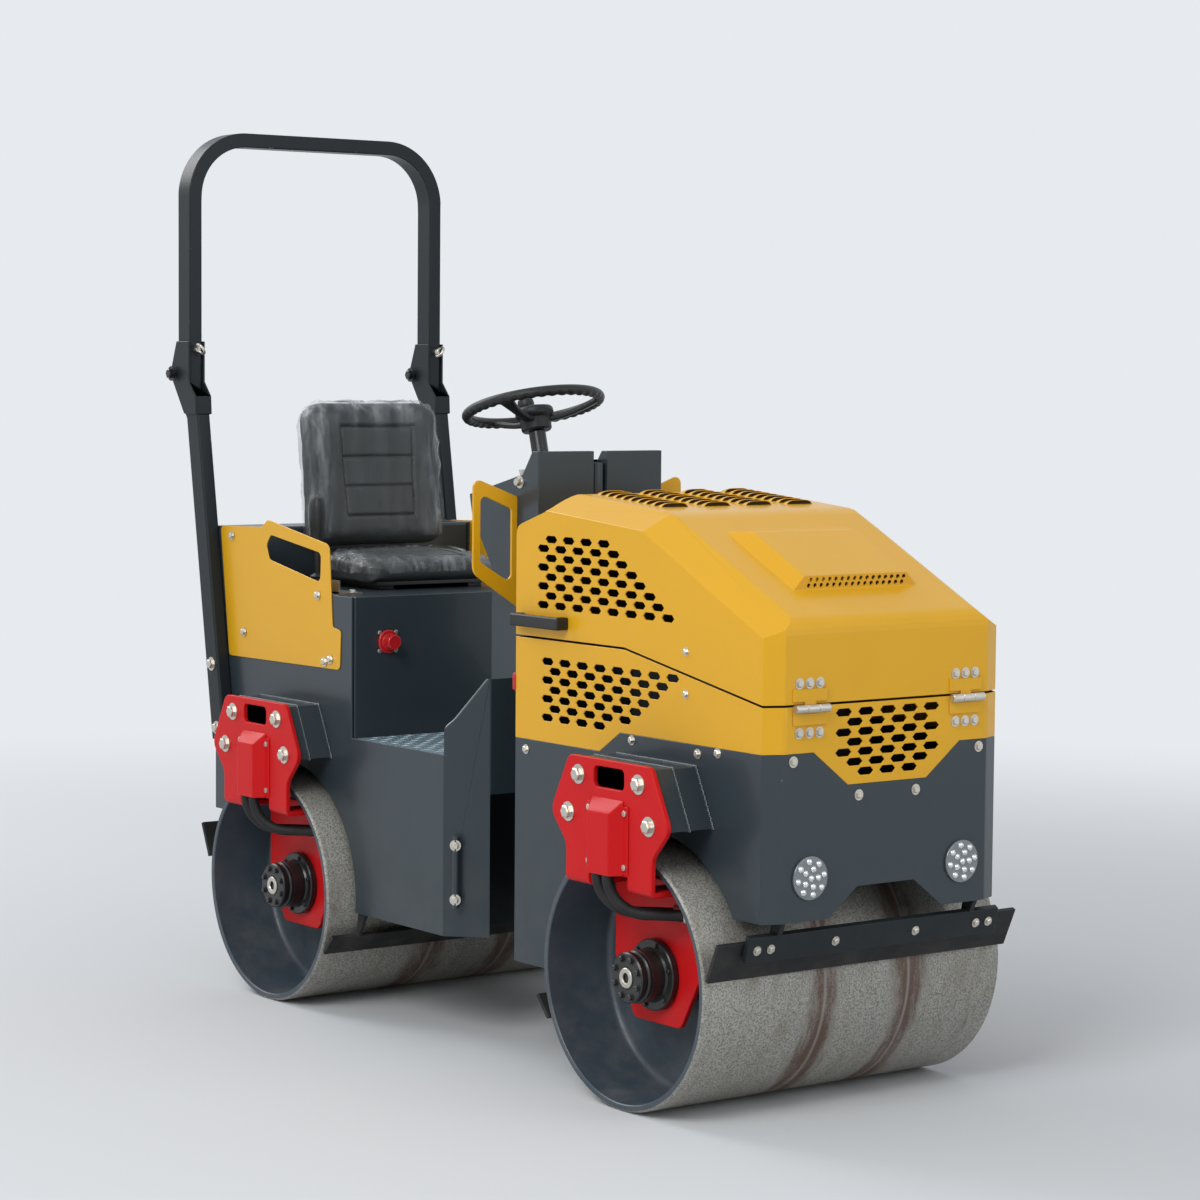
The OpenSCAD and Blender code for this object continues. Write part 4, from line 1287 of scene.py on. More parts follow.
@dataclass
class HoodSkin:
    """The hood's sheet, yellow outside and painted with dark brown shade on its inner faces, with louvres
    and a filter pad.

    Attributes:
        bend: Where the top meets the slope: distance from the pin and height, in millimetres.
        top: The top's rear end.
        nose: The slope's lower end.
        pad: Start and end of the filter pad under the scoop, down the slope, and half its width.
        depth: Depth of the pad's middle under the slope.
        core: Height of a line inside the hood, and its two ends from the pin.
        louvres: Louvres in a column, distance of the first from the top's rear end, and their pitch.
        column: Distance between two columns of louvres.
    """

    bend: Pair = (680.0, 970.0)
    top: Pair = (326.0, 999.0)
    nose: Pair = (1090.0, 768.0)
    pad: Triple = (78.0, 342.0, 175.0)
    depth: float = 4.6
    core: Triple = (700.0, 330.0, 960.0)
    louvres: tuple[int, float, float] = (9, 36.0, 27.5)
    column: float = 116.0

    def build(self) -> None:
        """Makes the skin, the louvres and the pad."""
        made = soften("hood", 0.9, 7.0)
        # Faces that look into the hood take the second finish, the painted shade.
        mark(made, self._faces_in)
        dress(made, "hood_lid", YELLOW, HOOD_SHADE)
        self._louvres()
        self._filter()

    def _faces_in(self, spot: Vector, normal: Vector) -> bool:
        """Says whether a face of the skin looks into the hood, so that it takes the painted shade."""
        height, rear, front = self.core
        core = at(0, 0, height)
        core.x = min(max(spot.x, at(rear, 0, 0).x), at(front, 0, 0).x)
        return normal.dot((core - spot).normalized()) > 0.3

    def _louvres(self) -> None:
        """Presses a louvre that opens forwards over each slot in the hood's top."""
        dome, mouth = self._dome(), self._mouth()
        slope = math.atan2(self.top[1] - self.bend[1], self.bend[0] - self.top[0])
        count, start, pitch = self.louvres
        spots = []
        for col in (-1.5, -0.5, 0.5, 1.5):
            for row in range(count):
                x = self.top[0] + start + row * pitch
                z = self.bend[1] + (self.bend[0] - x) * math.tan(slope)
                spots.append(at(x, col * self.column, z))
        aim = Vector((math.sin(slope), 0, math.cos(slope)))
        Scatter("louvre_domes", dome, YELLOW).build("hood_lid", spots, aim)
        # A dark sheet under each louvre's front edge is painted shade in the opening.
        Scatter("louvre_mouths", mouth, HOOD_SHADE).build("hood_lid", spots, aim)

    def _rise(self, across: float, along: float) -> float:
        """Gives the height of a louvre, in millimetres, at shares of its width and length."""
        return 9.5 * (1 - across**4) ** 0.7 * math.sin(along * math.pi / 2) ** 0.8 - 0.4

    def _grid(self, name: str, wide: int, long: int, point: Callable[[float, float], Vector]) -> Piece:
        """Makes a thin sheet over a grid.

        Args:
            name: Name of the object.
            wide: Faces across.
            long: Faces along.
            point: Gives a point, in millimetres, from shares -1..1 across and 0..1 along.

        Returns:
            The sheet, with its thickness.
        """
        row = wide + 1
        points = [point(2 * i / wide - 1, j / long) / 1000 for j in range(long + 1) for i in range(row)]
        faces = [
            (j * row + i, j * row + i + 1, (j + 1) * row + i + 1, (j + 1) * row + i)
            for j in range(long)
            for i in range(wide)
        ]
        mesh = bpy.data.meshes.new(name)
        mesh.from_pydata(points, [], faces)
        sheet = link(mesh, name)
        thick = sheet.modifiers.new("Thick", "SOLIDIFY")
        thick.thickness, thick.offset = 0.0012, 0.0
        settle(sheet)
        return sheet

    def _dome(self) -> Piece:
        """Makes the raised sheet of one louvre."""
        return self._grid("dome", 12, 4, lambda u, v: Vector((18 * v - 11, -37 * u, self._rise(u, v))))

    def _mouth(self) -> Piece:
        """Makes a thin dark sheet under a louvre's front edge: painted shade in its opening."""

        def point(u: float, v: float) -> Vector:
            """Point of the opening, just under the sheet."""
            return Vector((4.6, 36 * u, (self._rise(u, 0.85) - 0.6) * v))

        return self._grid("mouth", 12, 1, point)

    def _filter(self) -> None:
        """Lays the dark filter pad under the scoop's vents."""
        fall = math.atan2(self.bend[1] - self.nose[1], self.nose[0] - self.bend[0])
        start, end, half = self.pad
        c, s = math.cos(fall), math.sin(fall)
        path = []
        for i in range(9):
            down = start + (end - start) * i / 8
            x, z = self.bend[0] + down * c - self.depth * s, self.bend[1] - down * s - self.depth * c
            path.append(at(x, 0, z))
        ring = [(-half, -1.5), (half, -1.5), (half, 1.5), (-half, 1.5)]
        dress(sweep("filter_pad", path, lambda s: ring, UP), "hood_lid", RUBBER)


@dataclass
class HoodHinges:
    """Hinges of the hood: zinc barrels on leaves in the colour of the sheet.

    Attributes:
        x: Distance of the hinge line from the pin, in millimetres.
        z: Its height over the axle line.
        reach: Distance from the line within which a face is zinc.
    """

    x: float = 1099.0
    z: float = 591.0
    reach: float = 10.5

    def build(self) -> None:
        """Makes the leaves of both bodies."""
        line = at(self.x, 0, self.z)
        for node in ("hood_hinges", "hood_leaves"):
            made = soften(node, 0.8)
            mark(made, lambda c, n: math.hypot(c.x - line.x, c.z - line.z) * 1000 > self.reach)
            dress(made, body_of(node), ZINC, YELLOW)


@dataclass
class ScraperBars:
    """Scraper bars: painted carriers with a rubber blade beside each drum.

    Attributes:
        gap: Gap between a blade and its drum, in millimetres.
        outer: Place of an outer blade round the drum, in degrees, and its lean.
        inner: The same of an inner blade.
        blade: Start and end of a blade along its lean, and half its thickness, with some room.
        bolt_offsets: Offset of each bolt of a carrier.
        bolt: Distance of the bolts from the pin and their height.
    """

    gap: float = 6.0
    outer: Pair = (8.0, 24.0)
    inner: Pair = (205.6, -42.0)
    blade: Triple = (-6.0, 92.0, 10.8)
    bolt_offsets: tuple[float, ...] = (-318, -282, -110, 110, 282, 318)
    bolt: Pair = (1060.3, 101.0)

    def build(self, bolts: Fasteners) -> None:
        """Makes the bars of both drums.

        Args:
            bolts: Set that takes the carriers' bolts.
        """
        for node, centre, way in (("front_scrapers", AXLES.front, 1), ("rear_scrapers", AXLES.rear, -1)):
            made = soften(node, 1.0)
            mark(made, lambda c, n: self._in_blade((c - centre) * 1000, way))
            dress(made, body_of(node), DARK, RUBBER)
            for y in self.bolt_offsets:
                spot = at(way * self.bolt[0], y, self.bolt[1])
                bolts.add(body_of(node), spot, (way * 0.976, 0, -0.217), 7.0)

    def _in_blade(self, spot: Vector, way: int) -> bool:
        """Says whether a point off an axle, in millimetres, is on a blade."""
        start, end, thick = self.blade
        tip = AXLES.radius * 1000 + self.gap
        for place, lean in (self.outer, self.inner):
            a, b = math.radians(place), math.radians(lean)
            dx, dz = spot.x * way - tip * math.cos(a), spot.z - tip * math.sin(a)
            along = dx * math.sin(b) + dz * math.cos(b)
            out = abs(dx * math.cos(b) - dz * math.sin(b))
            if start < along < end and out < thick:
                return True
        return False


@dataclass
class DrumPair:
    """The two turned drums, bare steel outside and painted inside.

    Attributes:
        wall: Thickness of the shell, in millimetres.
        web: Distance of a web's outer face from the middle.
        hub: Distance of a hub's face from the middle.
        hub_radius: Radius of a hub.
        bore: Radius of a hub's bore.
        bolt_ring: Radius of the ring of hub bolts.
    """

    wall: float = 16.0
    web: float = 241.0
    hub: float = 285.0
    hub_radius: float = 70.0
    bore: float = 30.3
    bolt_ring: float = 52.0

    def build(self, bolts: Fasteners) -> None:
        """Turns both drums and sets the hub bolts.

        Args:
            bolts: Set that takes the hub bolts.
        """
        for name, body, centre in (
            ("front_drum", "front_roll", AXLES.front),
            ("rear_drum", "rear_roll", AXLES.rear),
        ):
            piece = self._turn(name, centre)
            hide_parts(name)
            dress(piece, body, STEEL, INSIDE)
            for side in (-1, 1):
                bolts.ring(body, centre, (self.bolt_ring, self.hub, side), 8, 0.5, 8.0)

    def _turn(self, name: str, centre: Vector) -> Piece:
        """Turns one drum.

        Args:
            name: Name of its node.
            centre: Middle of the drum.

        Returns:
            The drum, with steel and paint marked on its faces.
        """
        r, half = AXLES.radius * 1000, AXLES.half * 1000
        inner, web, hub, boss = r - self.wall, self.web, self.hub, self.hub_radius
        side = [
            (r - 0.8, half - 4.0, 0), (r - 4.5, half, 0), (inner + 2.0, half, 1), (inner, half - 2.0, 1),
            (inner, web + 15, 1), (inner - 3, web + 7, 1), (inner - 9, web + 2, 1), (inner - 16, web, 1),
            (boss + 12, web, 1), (boss + 4, web + 3, 1), (boss, web + 10, 1), (boss, hub - 3, 1),
            (boss - 3, hub, 1), (self.bore, hub, 1), (self.bore, hub - 60, 1),
        ]
        right = [(p[0], -p[1]) for p in reversed(side)]
        left = [(p[0], p[1]) for p in side]
        skin = [(r, -half + 6.0), (r, half - 6.0)]
        marks = [p[2] for p in reversed(side)][:-1] + [0, 0, 0] + [p[2] for p in side][1:] + [1]
        return lathe(name + "_shell", right + skin + left + right[:1], centre, LEFT, 160, marks)


@dataclass
class FrontDetails:
    """Bolts, lamp cells and latch of the front body and the hood.

    Attributes:
        half: Distance of a side's face from the middle, in millimetres.
        nose: Distance of the front's face from the pin.
        side_bolts: Distance from the pin and height of each bolt in a side plate.
        nose_bolts: Offset and height of each bolt in the front panel.
        hinge: Offset of a hinge's middle bolts, and their pitch.
        lamp: Offset of a headlamp.
        cells: Radius of each ring of lamp cells, its number of cells and its turn, in steps.
    """

    half: float = 320.0
    nose: float = 1090.0
    side_bolts: Pairs = ((248, 430), (637, 488), (863, 482), (929, 490))
    nose_bolts: Pairs = ((254, 484), (78, 405))
    hinge: Pair = (213.0, 27.0)
    lamp: float = 208.0
    cells: tuple[tuple[float, int, float], ...] = ((0, 1, 0), (19, 5, 0), (34.5, 8, 0.2))

    def build(self, bolts: Fasteners) -> None:
        """Sets the front body's small parts.

        Args:
            bolts: Set of hexagonal bolts.
        """
        middle, pitch = self.hinge
        for side in (-1, 1):
            for x, z in self.side_bolts:
                bolts.add("front_frame", at(x, side * self.half, z), (0, side, 0), 7.5)
            for y, z in self.nose_bolts:
                bolts.add("front_frame", at(self.nose, side * y, z), AHEAD, 8.0)
            bolts.add("hood_lid", at(820, side * self.half, 690), (0, side, 0), 6.5)
            bolts.add("front_frame", at(821, side * self.half, 602), (0, side, 0), 6.5)
            for i in (-1, 0, 1):
                for body, z in (("hood_lid", 642), ("front_frame", 541)):
                    bolts.add(body, at(self.nose, side * (middle + pitch * i), z), AHEAD, 8.0)
        self._lamps()
        self._latch()

    def _latch(self) -> None:
        """Sets the small red latch on the rear edge of the right side."""
        path = [at(202, -316, 557 + 4 * i) for i in range(11)]

        def section(share: float) -> list[Pair]:
            """Outline of the latch, drawn in at both ends."""
            full = min(1.0, 0.6 + 4 * min(share, 1 - share))
            return oval(8.0 * full, 5.5 * full, 3.0, 16)

        dress(sweep("side_latch", path, section, AHEAD), "front_frame", SIGNAL)

    def _lamps(self) -> None:
        """Sets the cells of both headlamps."""
        dome = [(7.0, -1), (7.0, 1.2), (5.8, 3.8), (3.2, 5.2), (0, 5.8)]
        cell = lathe("lamp_cell", dome, Vector(), UP, 12)
        low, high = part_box("headlamps")
        spots = []
        for side in (-1, 1):
            centre = Vector((high.x, side * self.lamp / 1000, (low.z + high.z) / 2))
            for ring, count, start in self.cells:
                for i in range(count):
                    a = math.tau * (i + start) / count
                    spots.append(centre + Vector((0, ring * math.cos(a), ring * math.sin(a))) / 1000)
        Scatter("lamp_cells", cell, LAMP).build("front_frame", spots, AHEAD)


@dataclass
class HangerDetails:
    """Motors, bolts, cover screws, weld beads and hose ends of the four hangers.

    Attributes:
        face: Distance of a hanger's outer face from the middle, in millimetres.
        bolt_spots: Distance from the axle and height of each bolt of a hanger.
        screw_spots: The same of each screw of a cover.
        cap: Radius of the ring of bolts on a motor's cap, and the cap's distance from the middle.
        flange: The same of a motor's flange.
        arm: Outline of an arm, from the axle and in height.
    """

    face: float = 445.0
    bolt_spots: Pairs = ((-104, 423), (104, 423), (-140, 340), (140, 340))
    screw_spots: Pairs = ((-62, 246), (-62, 358), (62, 246), (62, 358))
    cap: Pair = (42.0, 394.0)
    flange: Pair = (66.0, 330.0)
    arm: Pairs = ((-195, 333), (-135, 455), (135, 455), (195, 333))

    def build(self, bolts: Fasteners, screws: Fasteners, dark_bolts: Fasteners) -> None:
        """Sets the small parts of every hanger.

        Args:
            bolts: Set of zinc bolts.
            screws: Set of small screws.
            dark_bolts: Set of black motor bolts.
        """
        for body, centre, half in (("front_frame", 723, 320), ("rear_frame", -723, 345)):
            for side in (-1, 1):
                for x, z in self.bolt_spots:
                    bolts.add(body, at(centre + x, side * self.face, z), (0, side, 0), 14.5)
                for x, z in self.screw_spots:
                    screws.add(body, at(centre + x, side * (self.face + 3), z), (0, side, 0), 6.5)
                dark_bolts.ring(body, at(centre, 0, 0), (*self.cap, side), 8, 0.5, 6.5)
                dark_bolts.ring(body, at(centre, 0, 0), (*self.flange, side), 6, 0.25, 6.0)
            self._motors(body, centre)
            self._rings(body, centre)
            self._hose_ends(body, centre)
            self._welds(body, centre, half)

    def _motors(self, body: str, centre: float) -> None:
        """Turns a body's two motors: flange, case, bolted cap and shaft."""
        profile = [
            (0, 205), (30, 205), (30, 312), (74, 312), (76, 314), (76, 328), (74, 330), (59, 330),
            (56, 334), (56, 364), (54, 365), (54, 368), (56, 369), (56, 373), (53, 376), (51, 377),
            (51, 380), (54, 381), (54, 391), (51, 394), (24, 394), (22, 391), (0, 391),
        ]
        cases = [lathe("case", profile, at(centre, 0, 0), Vector((0, side, 0)), 64) for side in (-1, 1)]
        node = "front_motors" if centre > 0 else "rear_motors"
        made = join(node + "_shell", cases)
        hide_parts(node)
        dress(made, body, IRON)

    def _hose_ends(self, body: str, centre: float) -> None:
        """Crimps a ferrule with a hexagon on the end of each hose."""
        sleeve = [(13, -46), (18, -46), (18.5, -44), (18.5, -20), (17, -18), (13, -18)]
        hexagon = [(12, -19), (19, -19), (19, 2), (12, 2)]
        ends = []
        for side in (-1, 1):
            for x in (-18, 18):
                spot = at(centre + x + 147, side * 312, 146)
                aim = Vector((1, -side, 0)).normalized()
                ends.append(lathe("sleeve", sleeve, spot, aim, 24))
                ends.append(lathe("hexagon", hexagon, spot, aim, 6))
        dress(join("hose_ends_" + body, ends), body, ZINC)

    def _rings(self, body: str, centre: float) -> None:
        """Turns the bright rings in the ends of a body's two motors."""
        profile = [(22, -1), (22, 2), (20, 3.5), (12, 3.5), (10.5, 1.5), (10.5, -1)]
        rings = []
        for side in (-1, 1):
            face = at(centre, side * self.cap[1], 0)
            rings.append(lathe("ring", profile, face, Vector((0, side, 0)), 32))
        dress(join("motor_rings_" + body, rings), body, ZINC)

    def _welds(self, body: str, centre: float, half: float) -> None:
        """Lays a weld bead round each arm where its two lengths meet.

        Args:
            body: Body that carries the arms.
            centre: Place of the axle along the machine.
            half: Half the width over the body's side plates.
        """
        drop = [(0, 2.2), (2.6, 1.6), (3.6, 0), (2.6, -1.6), (0, -2.2)]
        pearl = lathe("pearl", drop, Vector(), UP, 8)
        pitch = 4.2
        spots = []
        for side in (-1, 1):
            for y in (half + 1.5, half + 62):
                for k in range(4):
                    a, b = Vector(self.arm[k]), Vector(self.arm[(k + 1) % 4])
                    count = int((b - a).length / pitch)
                    for i in range(count):
                        spot = a + (b - a) * i / count
                        spots.append(at(centre + spot.x, side * (y + 0.8 * math.sin(i * 2.3)), spot.y))
        Scatter("weld_beads_" + body, pearl, WELD).build(body, spots, LEFT)


@dataclass
class RearDetails:
    """Tread of the floor, tank cap, seat bracket, and the bolts of guards, posts and box.

    Attributes:
        guard: Distance of a side guard's face from the middle, in millimetres.
        guard_bolts: Distance from the pin and height of each bolt of a side guard.
        post: Distance of a post's outer face from the middle.
        post_bolts: Distance from the pin and height of each bolt of a post.
        button: Middle of the stop button's plate.
        pivot: Distance of the roll bar's pivot from the pin, and its height.
    """

    guard: float = 349.0
    guard_bolts: Pairs = ((-1000, 845), (-940, 607), (-530, 570), (-556, 562), (-588, 721))
    post: float = 381.0
    post_bolts: Pairs = ((-1046, 520), (-1020, 360))
    button: Triple = (-434.0, -248.0, 616.0)
    pivot: Pair = (-1226.0, 1250.0)

    def build(self, bolts: Fasteners, screws: Fasteners, dark_bolts: Fasteners) -> None:
        """Sets the rear body's small parts.

        Args:
            bolts: Set of zinc bolts.
            screws: Set of small screws.
            dark_bolts: Set of black bolts.
        """
        self._tread()
        for side in (-1, 1):
            for x, z in self.guard_bolts:
                bolts.add("rear_frame", at(x, side * self.guard, z), (0, side, 0), 8.0)
            for x, z in self.post_bolts:
                bolts.add("rear_frame", at(x, side * self.post, z), (0, side, 0), 12.0)
        x, y, z = self.button
        for up in (22, -22):
            for out in (-23, 23):
                screws.add("rear_frame", at(x, y + out, z + up), AHEAD, 5.0)
        for z in (60, 185):
            bolts.add("rear_frame", self._bar(30, z), (0.707, -0.707, 0), 9.0)
        x, z = self.pivot
        for side in (-1, 1):
            dark_bolts.add("rear_frame", at(x, side * 395, z), (0, side, 0), 13.0)
            dark_bolts.add("rear_frame", at(x, side * 331, z), (0, -side, 0), 13.0)
        self._cap()
        self._bracket(bolts)

    def _bar(self, out: float, z: float) -> Vector:
        """Gives a point beside the lock bar, from a distance off the toe plate and a height."""
        low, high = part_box("lock_bar")
        middle = (low + high) / 2
        middle.z = at(0, 0, z).z
        return middle + Vector((0.707, -0.707, 0)) * (out - 15) / 1000

    def _cap(self) -> None:
        """Turns the ribbed rim of the water tank's cap."""
        rib = lathe("rib", [(0, -9), (2.6, -8), (3.0, 0), (2.6, 8), (0, 9)], Vector(), UP, 8)
        _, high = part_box("water_tank")
        count, radius, sunk = 28, 38, 0.012
        spots = []
        for i in range(count):
            a = math.tau * i / count
            spot = at(-1020, 200, 0) + Vector((radius * math.cos(a), radius * math.sin(a), 0)) / 1000
            spot.z = high.z - sunk
            spots.append(spot)
        Scatter("cap_ribs", rib, TANK).build("rear_frame", spots, UP)

    def _bracket(self, bolts: Fasteners) -> None:
        """Sets the zinc bracket beside the seat and the bolts of bracket and rails.

        Args:
            bolts: Set of zinc bolts.
        """
        plate = [(-24, -2.2), (24, -2.2), (24, 2.2), (-24, 2.2)]
        flange = [(-2, -16), (2, -16), (2, 16), (-2, 16)]
        parts = [
            sweep("plate", [at(-640 + 30 * i, -288, 727) for i in range(5)], lambda s: plate, UP),
            sweep("flange", [at(-640 + 22 * i, -310, 741) for i in range(5)], lambda s: flange, UP),
        ]
        dress(join("seat_bracket", parts), "rear_frame", ZINC)
        for x in (-626, -534):
            bolts.add("rear_frame", at(x, -284, 729), (0, 0, 1), 7.0)
        low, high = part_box("seat_base")
        for x in (0.05, 0.30):
            for y in (low.y + 0.036, high.y - 0.036):
                bolts.add("rear_frame", Vector((low.x + x, y, low.z + 0.012)), (0, 0, 1), 6.0)

    def _tread(self) -> None:
        """Covers the floor with raised tread bars."""
        spindle = [(0, 13), (1.8, 9), (2.6, 0), (1.8, -9), (0, -13)]
        bar = lathe("tread_bar", spindle, Vector(), AHEAD, 8)
        low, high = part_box("floor_plate")
        spots, turns = [], []
        pitch = 0.024
        for i in range(int((high.x - low.x) / pitch) - 1):
            for j in range(int((high.y - low.y) / pitch) - 1):
                spot = Vector((low.x + (i + 1) * pitch, low.y + (j + 1) * pitch, high.z - 0.0006))
                if spot.x > high.x - 0.10 and abs(spot.y) > 0.26:
                    continue
                spots.append(spot)
                turns.append(math.pi / 4 if (i + j) % 2 else -math.pi / 4)
        Scatter("floor_tread", bar, FLOOR).build("rear_frame", spots, UP, turns)


@dataclass
class Seat:
    """Padded seat cushion and back, puffed by a cloth simulation and wrapped in clear film.

    Attributes:
        voxel: Size of the remesh, in metres.
        pressure: Pressure inside a pad.
        cap: Most that a point may move, in metres.
        straight: Share of a pad's half width after which its corners are rounded.
        lean: How far the back leans from its middle to its top, in metres.
        seam: Depth and half width of a seam, in metres.
        stand: How far the film stands off a pad, in metres.
    """

    voxel: float = 0.006
    pressure: float = 4.0
    cap: float = 0.007
    straight: float = 0.72
    lean: float = 0.030
    seam: Pair = (0.006, 0.004)
    stand: float = 0.0020

    def build(self) -> None:
        """Makes the two pads and their film."""
        for node, seams in (("seat_cushion", self._cushion_seams), ("seat_back", self._back_seams)):
            pad = self._blank(node)
            self._puff(pad)
            self._sew(pad, seams)
            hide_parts(node)
            dress(pad, body_of(node), VINYL)
            self._wrap(pad, node)

    def _wrap(self, pad: Piece, node: str) -> None:
        """Wraps a pad in clear film that stands off it in folds.

        Args:
            pad: The sewn pad.
            node: Name of the pad's node.
        """
        film = link(pad.data.copy(), node + "_film")
        ease = film.modifiers.new("Ease", "SMOOTH")
        ease.iterations = 14
        fewer = film.modifiers.new("Fewer", "DECIMATE")
        fewer.ratio = 0.35
        settle(film)
        low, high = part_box(node)
        mid, half = (low + high) / 2, (high - low) / 2
        upright = node == "seat_back"
        shape = bmesh.new()
        shape.from_mesh(film.data)
        loose = shape.verts.layers.float.new("loose")
        floor = low.z + (0.03 if upright else 0.022)
        bare = [f for f in shape.faces if f.calc_center_median().z < floor or f.normal.z < -0.75]
        bmesh.ops.delete(shape, geom=bare, context="FACES")
        shape.normal_update()
        lifts = []
        for vert in shape.verts:
            x, y, z = vert.co
            across = abs(y - mid.y) / half.y
            along = (z - mid.z) / half.z if upright else abs(x - mid.x) / half.x
            slack = min(1.0, max(0.0, (max(across, along) - 0.5) / 0.4))
            # This weight also places the film's whitish painted glare along the pad's edges.
            vert[loose] = 0.05 + 0.95 * slack**1.5
            fold = (1 - abs(noise.noise(Vector((x * 24, y * 40, z * 13))))) ** 5
            crease = (1 - abs(noise.noise(Vector((x * 50, y * 62 + 9, z * 34))))) ** 6
            lifts.append(self.stand + (0.0016 + 0.0065 * slack) * fold + 0.0016 * crease)
        for vert, lift in zip(shape.verts, lifts):
            vert.co += vert.normal * lift
        area = sum(face.calc_area() for face in shape.faces)
        shape.to_mesh(film.data)
        shape.free()
        smooth(film.data, 80)
        dress(film, body_of(node), FILM)

    def _blank(self, node: str) -> Piece:
        """Copies a CAD pad, draws its sides in and remeshes it.

        Args:
            node: Name of the pad's node.

        Returns:
            The blank.
        """
        pad = link(frame["nodes"][node].data.copy(), node + "_pad")
        shape = bmesh.new()
        shape.from_mesh(pad.data)
        bmesh.ops.remove_doubles(shape, verts=shape.verts, dist=2e-5)
        shape.to_mesh(pad.data)
        shape.free()
        coarse = pad.modifiers.new("Voxels", "REMESH")
        coarse.mode, coarse.voxel_size = "VOXEL", self.voxel
        settle(pad)
        low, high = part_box(node)
        mid, half = (low + high) / 2, (high - low) / 2
        points = rows(pad.data)
        upright = node == "seat_back"
        length, thick = (2, 0) if upright else (0, 2)
        across, along = ((points[:, k] - mid[k]) / half[k] for k in (1, length))
        past = [np.clip(abs(share) - self.straight, 0, None) for share in (across, along)]
        corner = np.clip(np.hypot(*past) / (1 - self.straight), 0, 2)
        scale = np.where(corner > 1, 1 / np.maximum(corner, 1e-6), 1.0)
        for k, share, over in ((1, across, past[0]), (length, along, past[1])):
            points[:, k] = mid[k] + half[k] * (share - np.sign(share) * over * (1 - scale))
        crown = 1 - 0.20 * abs(across) ** 3.2 - 0.12 * abs(along) ** 4
        root = mid.x - self.lean * along if upright else points[:, thick].min()
        points[:, thick] = root + (points[:, thick] - root) * crown
        move(pad.data, points)
        return pad

    def _puff(self, pad: Piece) -> None:
        """Blows a pad up with the cloth simulation and keeps the result.

        Args:
            pad: The blank.
        """
        rest = rows(pad.data)
        cloth = pad.modifiers.new("Puff", "CLOTH")
        rule = cloth.settings
        rule.quality, rule.mass = 5, 0.3
        rule.use_pressure, rule.uniform_pressure_force = True, self.pressure
        rule.effector_weights.gravity = 0.0
        scene = bpy.context.scene
        steps = 20
        for step in range(1, steps + 1):
            scene.frame_set(step)
        graph = bpy.context.evaluated_depsgraph_get()
        shift = rows(pad.evaluated_get(graph).data) - rest
        far = np.linalg.norm(shift, axis=1, keepdims=True)
        shift *= np.minimum(1.0, self.cap / np.maximum(far, 1e-9))
        pad.modifiers.remove(cloth)
        move(pad.data, rest + shift)
        scene.frame_set(1)

    def _sew(self, pad: Piece, seams: Callable[[np.ndarray, np.ndarray], np.ndarray]) -> None:
        """Smooths a pad and draws its seams in.

        Args:
            pad: The puffed pad.
            seams: Gives how far each point is drawn in, in metres, from points and normals.
        """
        ease = pad.modifiers.new("Ease", "SMOOTH")
        ease.iterations = 6
        fine = pad.modifiers.new("Fine", "SUBSURF")
        fine.levels = fine.render_levels = 1
        settle(pad)
        points, normals = rows(pad.data), rows(pad.data, "normal")
        move(pad.data, points - normals * seams(points, normals)[:, None])
        smooth(pad.data, 80)

    def _seam(self, away: np.ndarray) -> np.ndarray:
        """Gives how deep a seam is, from the distance to its line in metres."""
        deep, wide = self.seam
        return deep * np.exp(-((away / wide) ** 2))

    def _back_seams(self, points: np.ndarray, normals: np.ndarray) -> np.ndarray:
        """Gives the back's panel: two upright seams and four cross seams.

        Args:
            points: Points of the pad.
            normals: Their normals.

        Returns:
            How far each point is drawn in.
        """
        low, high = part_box("seat_back")
        z = (points[:, 2] - low.z) / (high.z - low.z)
        edge = 0.098 + 0.012 * z
        out = abs(points[:, 1])
        start, end = 0.22, 0.83
        inside = (out < edge) & (z > start) & (z < end)
        front = np.clip(normals[:, 0], 0, 1)
        draw = self._seam(out - edge) * ((z > 0.2) & (z < end))
        for level in (start, 0.42, 0.62, end):
            line = self._seam((z - level) * (high.z - low.z))
            draw = np.maximum(draw, line * (out < edge + self.seam[1]))
        draw += 0.003 * inside
        rim = np.exp(-((normals[:, 0] - 0.25) / 0.08) ** 2)
        return draw * front + 0.002 * rim

    def _cushion_seams(self, points: np.ndarray, normals: np.ndarray) -> np.ndarray:
        """Gives the cushion's panel: two long seams and three cross seams.

        Args:
            points: Points of the pad.
            normals: Their normals.

        Returns:
            How far each point is drawn in.
        """
        low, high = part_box("seat_cushion")
        x = (points[:, 0] - low.x) / (high.x - low.x)
        top = np.clip(normals[:, 2], 0, 1)
        out = abs(points[:, 1])
        edge, end = 0.11, 0.8
        draw = self._seam(out - edge) * (x < end)
        for level in (0.15, 0.46, end):
            line = self._seam((x - level) * (high.x - low.x))
            draw = np.maximum(draw, line * (out < edge + self.seam[1]))
        return draw * top


